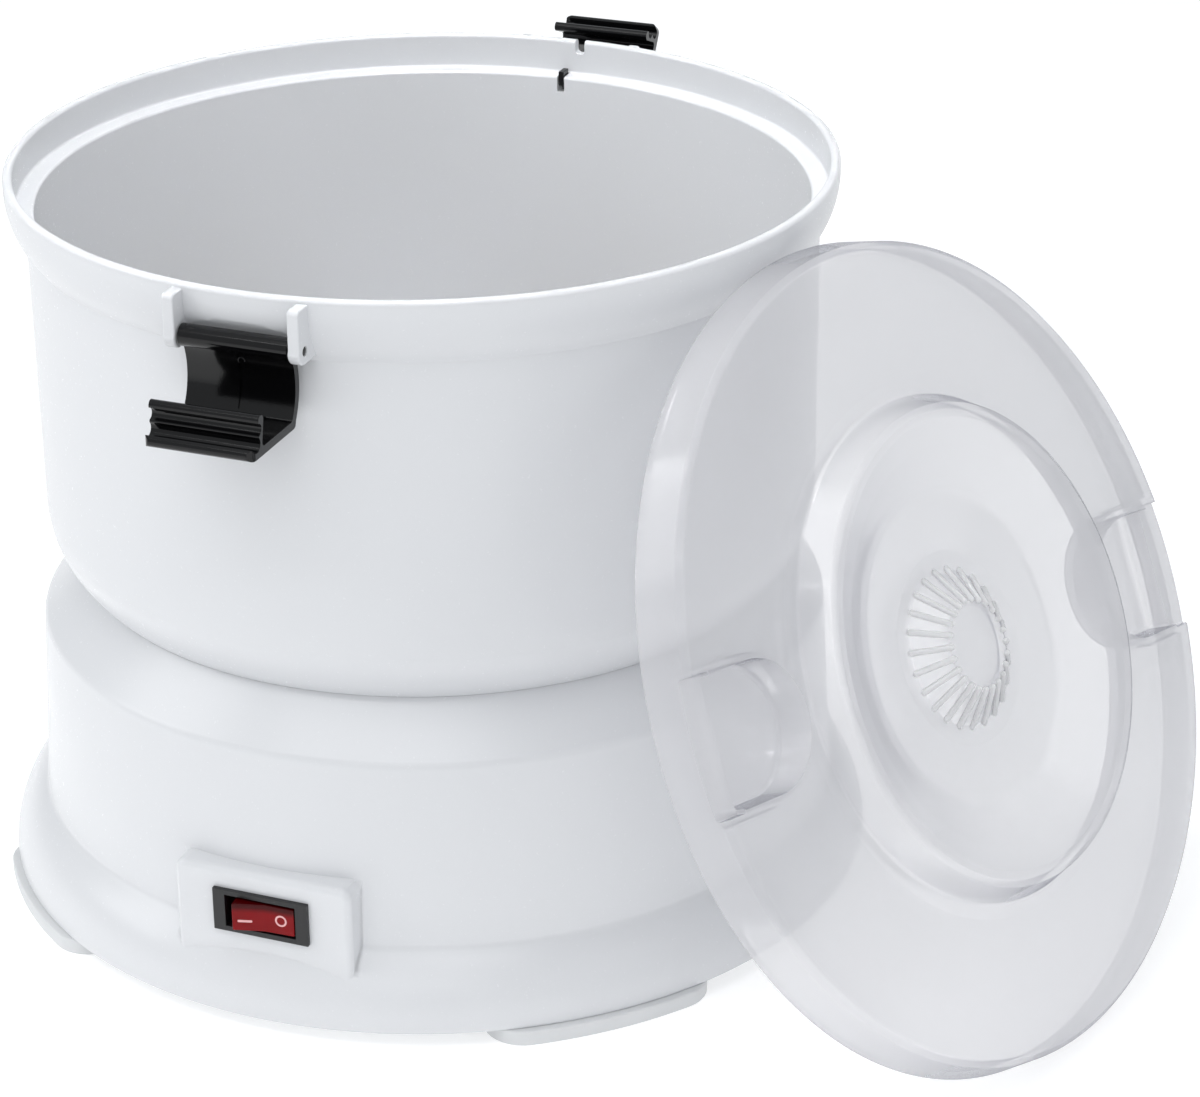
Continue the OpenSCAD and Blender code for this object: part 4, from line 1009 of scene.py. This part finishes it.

# %% [markdown]
# The rocker carries the two usual marks, a bar for on and a ring for off, which are printed or moulded in
# on a real one. Here they are thin plates that are laid on the sloping faces by sending a ray at each of
# their points, so they follow the faces exactly and are real shapes.


# %% Marks of the rocker
def laid_on(mark, carrier, proud=0.06, sunk=0.15):
    """Presses a thin plate, seen from -Y, onto the face behind it."""
    shape = bmesh.new()
    shape.from_mesh(carrier.data)
    tree = BVHTree.FromBMesh(shape)
    middle = sum(v.co.y for v in mark.data.vertices) / len(mark.data.vertices)
    for vertex in mark.data.vertices:
        hit = tree.ray_cast(Vector((vertex.co.x, -0.2, vertex.co.z)), Vector((0, 1, 0)))[0]
        vertex.co.y = hit.y + (-proud if vertex.co.y < middle else sunk) * mm
    shape.free()
    return mark


left, right, low, high = -6.1, -1.9, 34.6, 35.35
bar = rounded([(left, low, 0.3), (right, low, 0.3), (right, high, 0.3), (left, high, 0.3)])
on_mark = pushed("on_mark", divided(bar, 0.6), -134, -133, "y")
ring_x, ring_z, ring_r, ring_hole = 6.9, 36.3, 1.85, 1.3
circle, hole = (
    [(ring_x + x, ring_z + z) for x, z, _ in arc(0, 0, radius, 0, 350, 35)] for radius in (ring_r, ring_hole)
)
off_mark = pushed("off_mark", circle, -134, -133, "y")
carve(off_mark, pushed("inner", hole, -135, -132, "y"))
marks = joined(laid_on(on_mark, rocker), laid_on(off_mark, rocker))
marks.name = "rocker_marks"
dress(marks, mark_pink, "switch_rocker", "red_rocker")

# %% [markdown]
# Several packed solids have the right shape and only lack their small edge radii: the duct at the back,
# the cord's bush, the bottom cover, the disc, its nut and the safety rod. Each gets them on a merged copy.

# %% Softened solids
for node, name, radius, finish, body, slot_name in (
    ("rod_cover", "rod_duct", 0.5, white, "tub", "white_abs"),
    ("cord_inlet", "cord_bush", 0.5, rubber_black, "base", "inlet_rubber"),
    ("bottom_cover", "underside_cover", 0.4, cover_grey, "base", "grey_cover"),
    ("peeling_disc", "disc_plate", 0.5, white, "disc", "white_abs"),
    ("disc_nut", "finger_nut", 0.6, white, "disc", "white_abs"),
    ("interlock_rod", "safety_rod", 0.2, black, "interlock_rod", "black_plastic"),
):
    dress(soften(solid_copy(node, name), radius, 40, inner=False), finish, body, slot_name, node)

# %% [markdown]
# The disc peels with grit: hard grains that are bonded to its top. They are all alike, so a node tree
# scatters small rough grains over the grit's upper faces, with a fixed seed, and each is turned and sized
# at random.

# %% Grit
grains_in_m2, grain_r, any_turn = 60000.0, 0.0007, 6.28
grit = Pattern(
    "grit_grains", [("Density", "Float", grains_in_m2), ("Grain", "Float", grain_r), ("Seed", "Int", 7)]
)
face_normal = grit.make("GeometryNodeInputNormal", {}, {}, 0)
upwards = grit.make("ShaderNodeSeparateXYZ", {}, {0: face_normal}, 2) > 0.7
sockets = {"Mesh": grit.input("Geometry"), "Selection": upwards}
sockets.update({"Density": grit.input("Density"), "Seed": grit.input("Seed")})
scatter = grit.make("GeometryNodeDistributePointsOnFaces", {}, sockets)
grain = grit.make("GeometryNodeMeshIcoSphere", {}, {"Radius": grit.input("Grain"), "Subdivisions": 1}, 0)
spin, size = (
    grit.make("FunctionNodeRandomValue", {"data_type": "FLOAT_VECTOR"}, {0: least, 1: most, "Seed": seed}, 0)
    for least, most, seed in (
        ((0, 0, 0), (any_turn, any_turn, any_turn), 3),
        ((0.5, 0.5, 0.4), (1.2, 1.2, 0.9), 4),
    )
)
spots = Signal(grit, scatter.outputs["Points"])
sockets = {"Points": spots, "Instance": grain, "Rotation": spin, "Scale": size}
grit.done(grit.make("GeometryNodeInstanceOnPoints", {}, sockets, 0), grit_dark)
grains_piece = grit.grow(solid_copy("disc_grit", "grit_grains"), Density=grains_in_m2)
dress(grains_piece, grit_dark, "disc", "grit", crease=20)

# %% [markdown]
# The table is one large pale plane. A little light of its own lets it run to white, as a lit table in a
# studio does, and it keeps the soft shadows under the machine and the lid.

# %% Table
reach = 6
floor_mesh = bpy.data.meshes.new("table")
floor_corners = [(-reach, -reach, 0), (reach, -reach, 0), (reach, reach, 0), (-reach, reach, 0)]
floor_mesh.from_pydata(floor_corners, [], [(0, 1, 2, 3)])
floor = bpy.data.objects.new("table", floor_mesh)
scene.collection.objects.link(floor)
table_finish = Finish("table_white")
wear = table_finish.noise(3, 2)
floor_mesh.materials.append(
    table_finish.done(
        table_finish.surface(
            Base_Color=table_finish.blend(wear, rgb(0.72, 0.725, 0.73), rgb(0.75, 0.75, 0.75)),
            Roughness=0.6 + 0.1 * wear, Emission_Color=rgb(1, 1, 1), Emission_Strength=0.46,
        )
    )
)
print("the table is", 2 * reach, "m wide")

# %% [markdown]
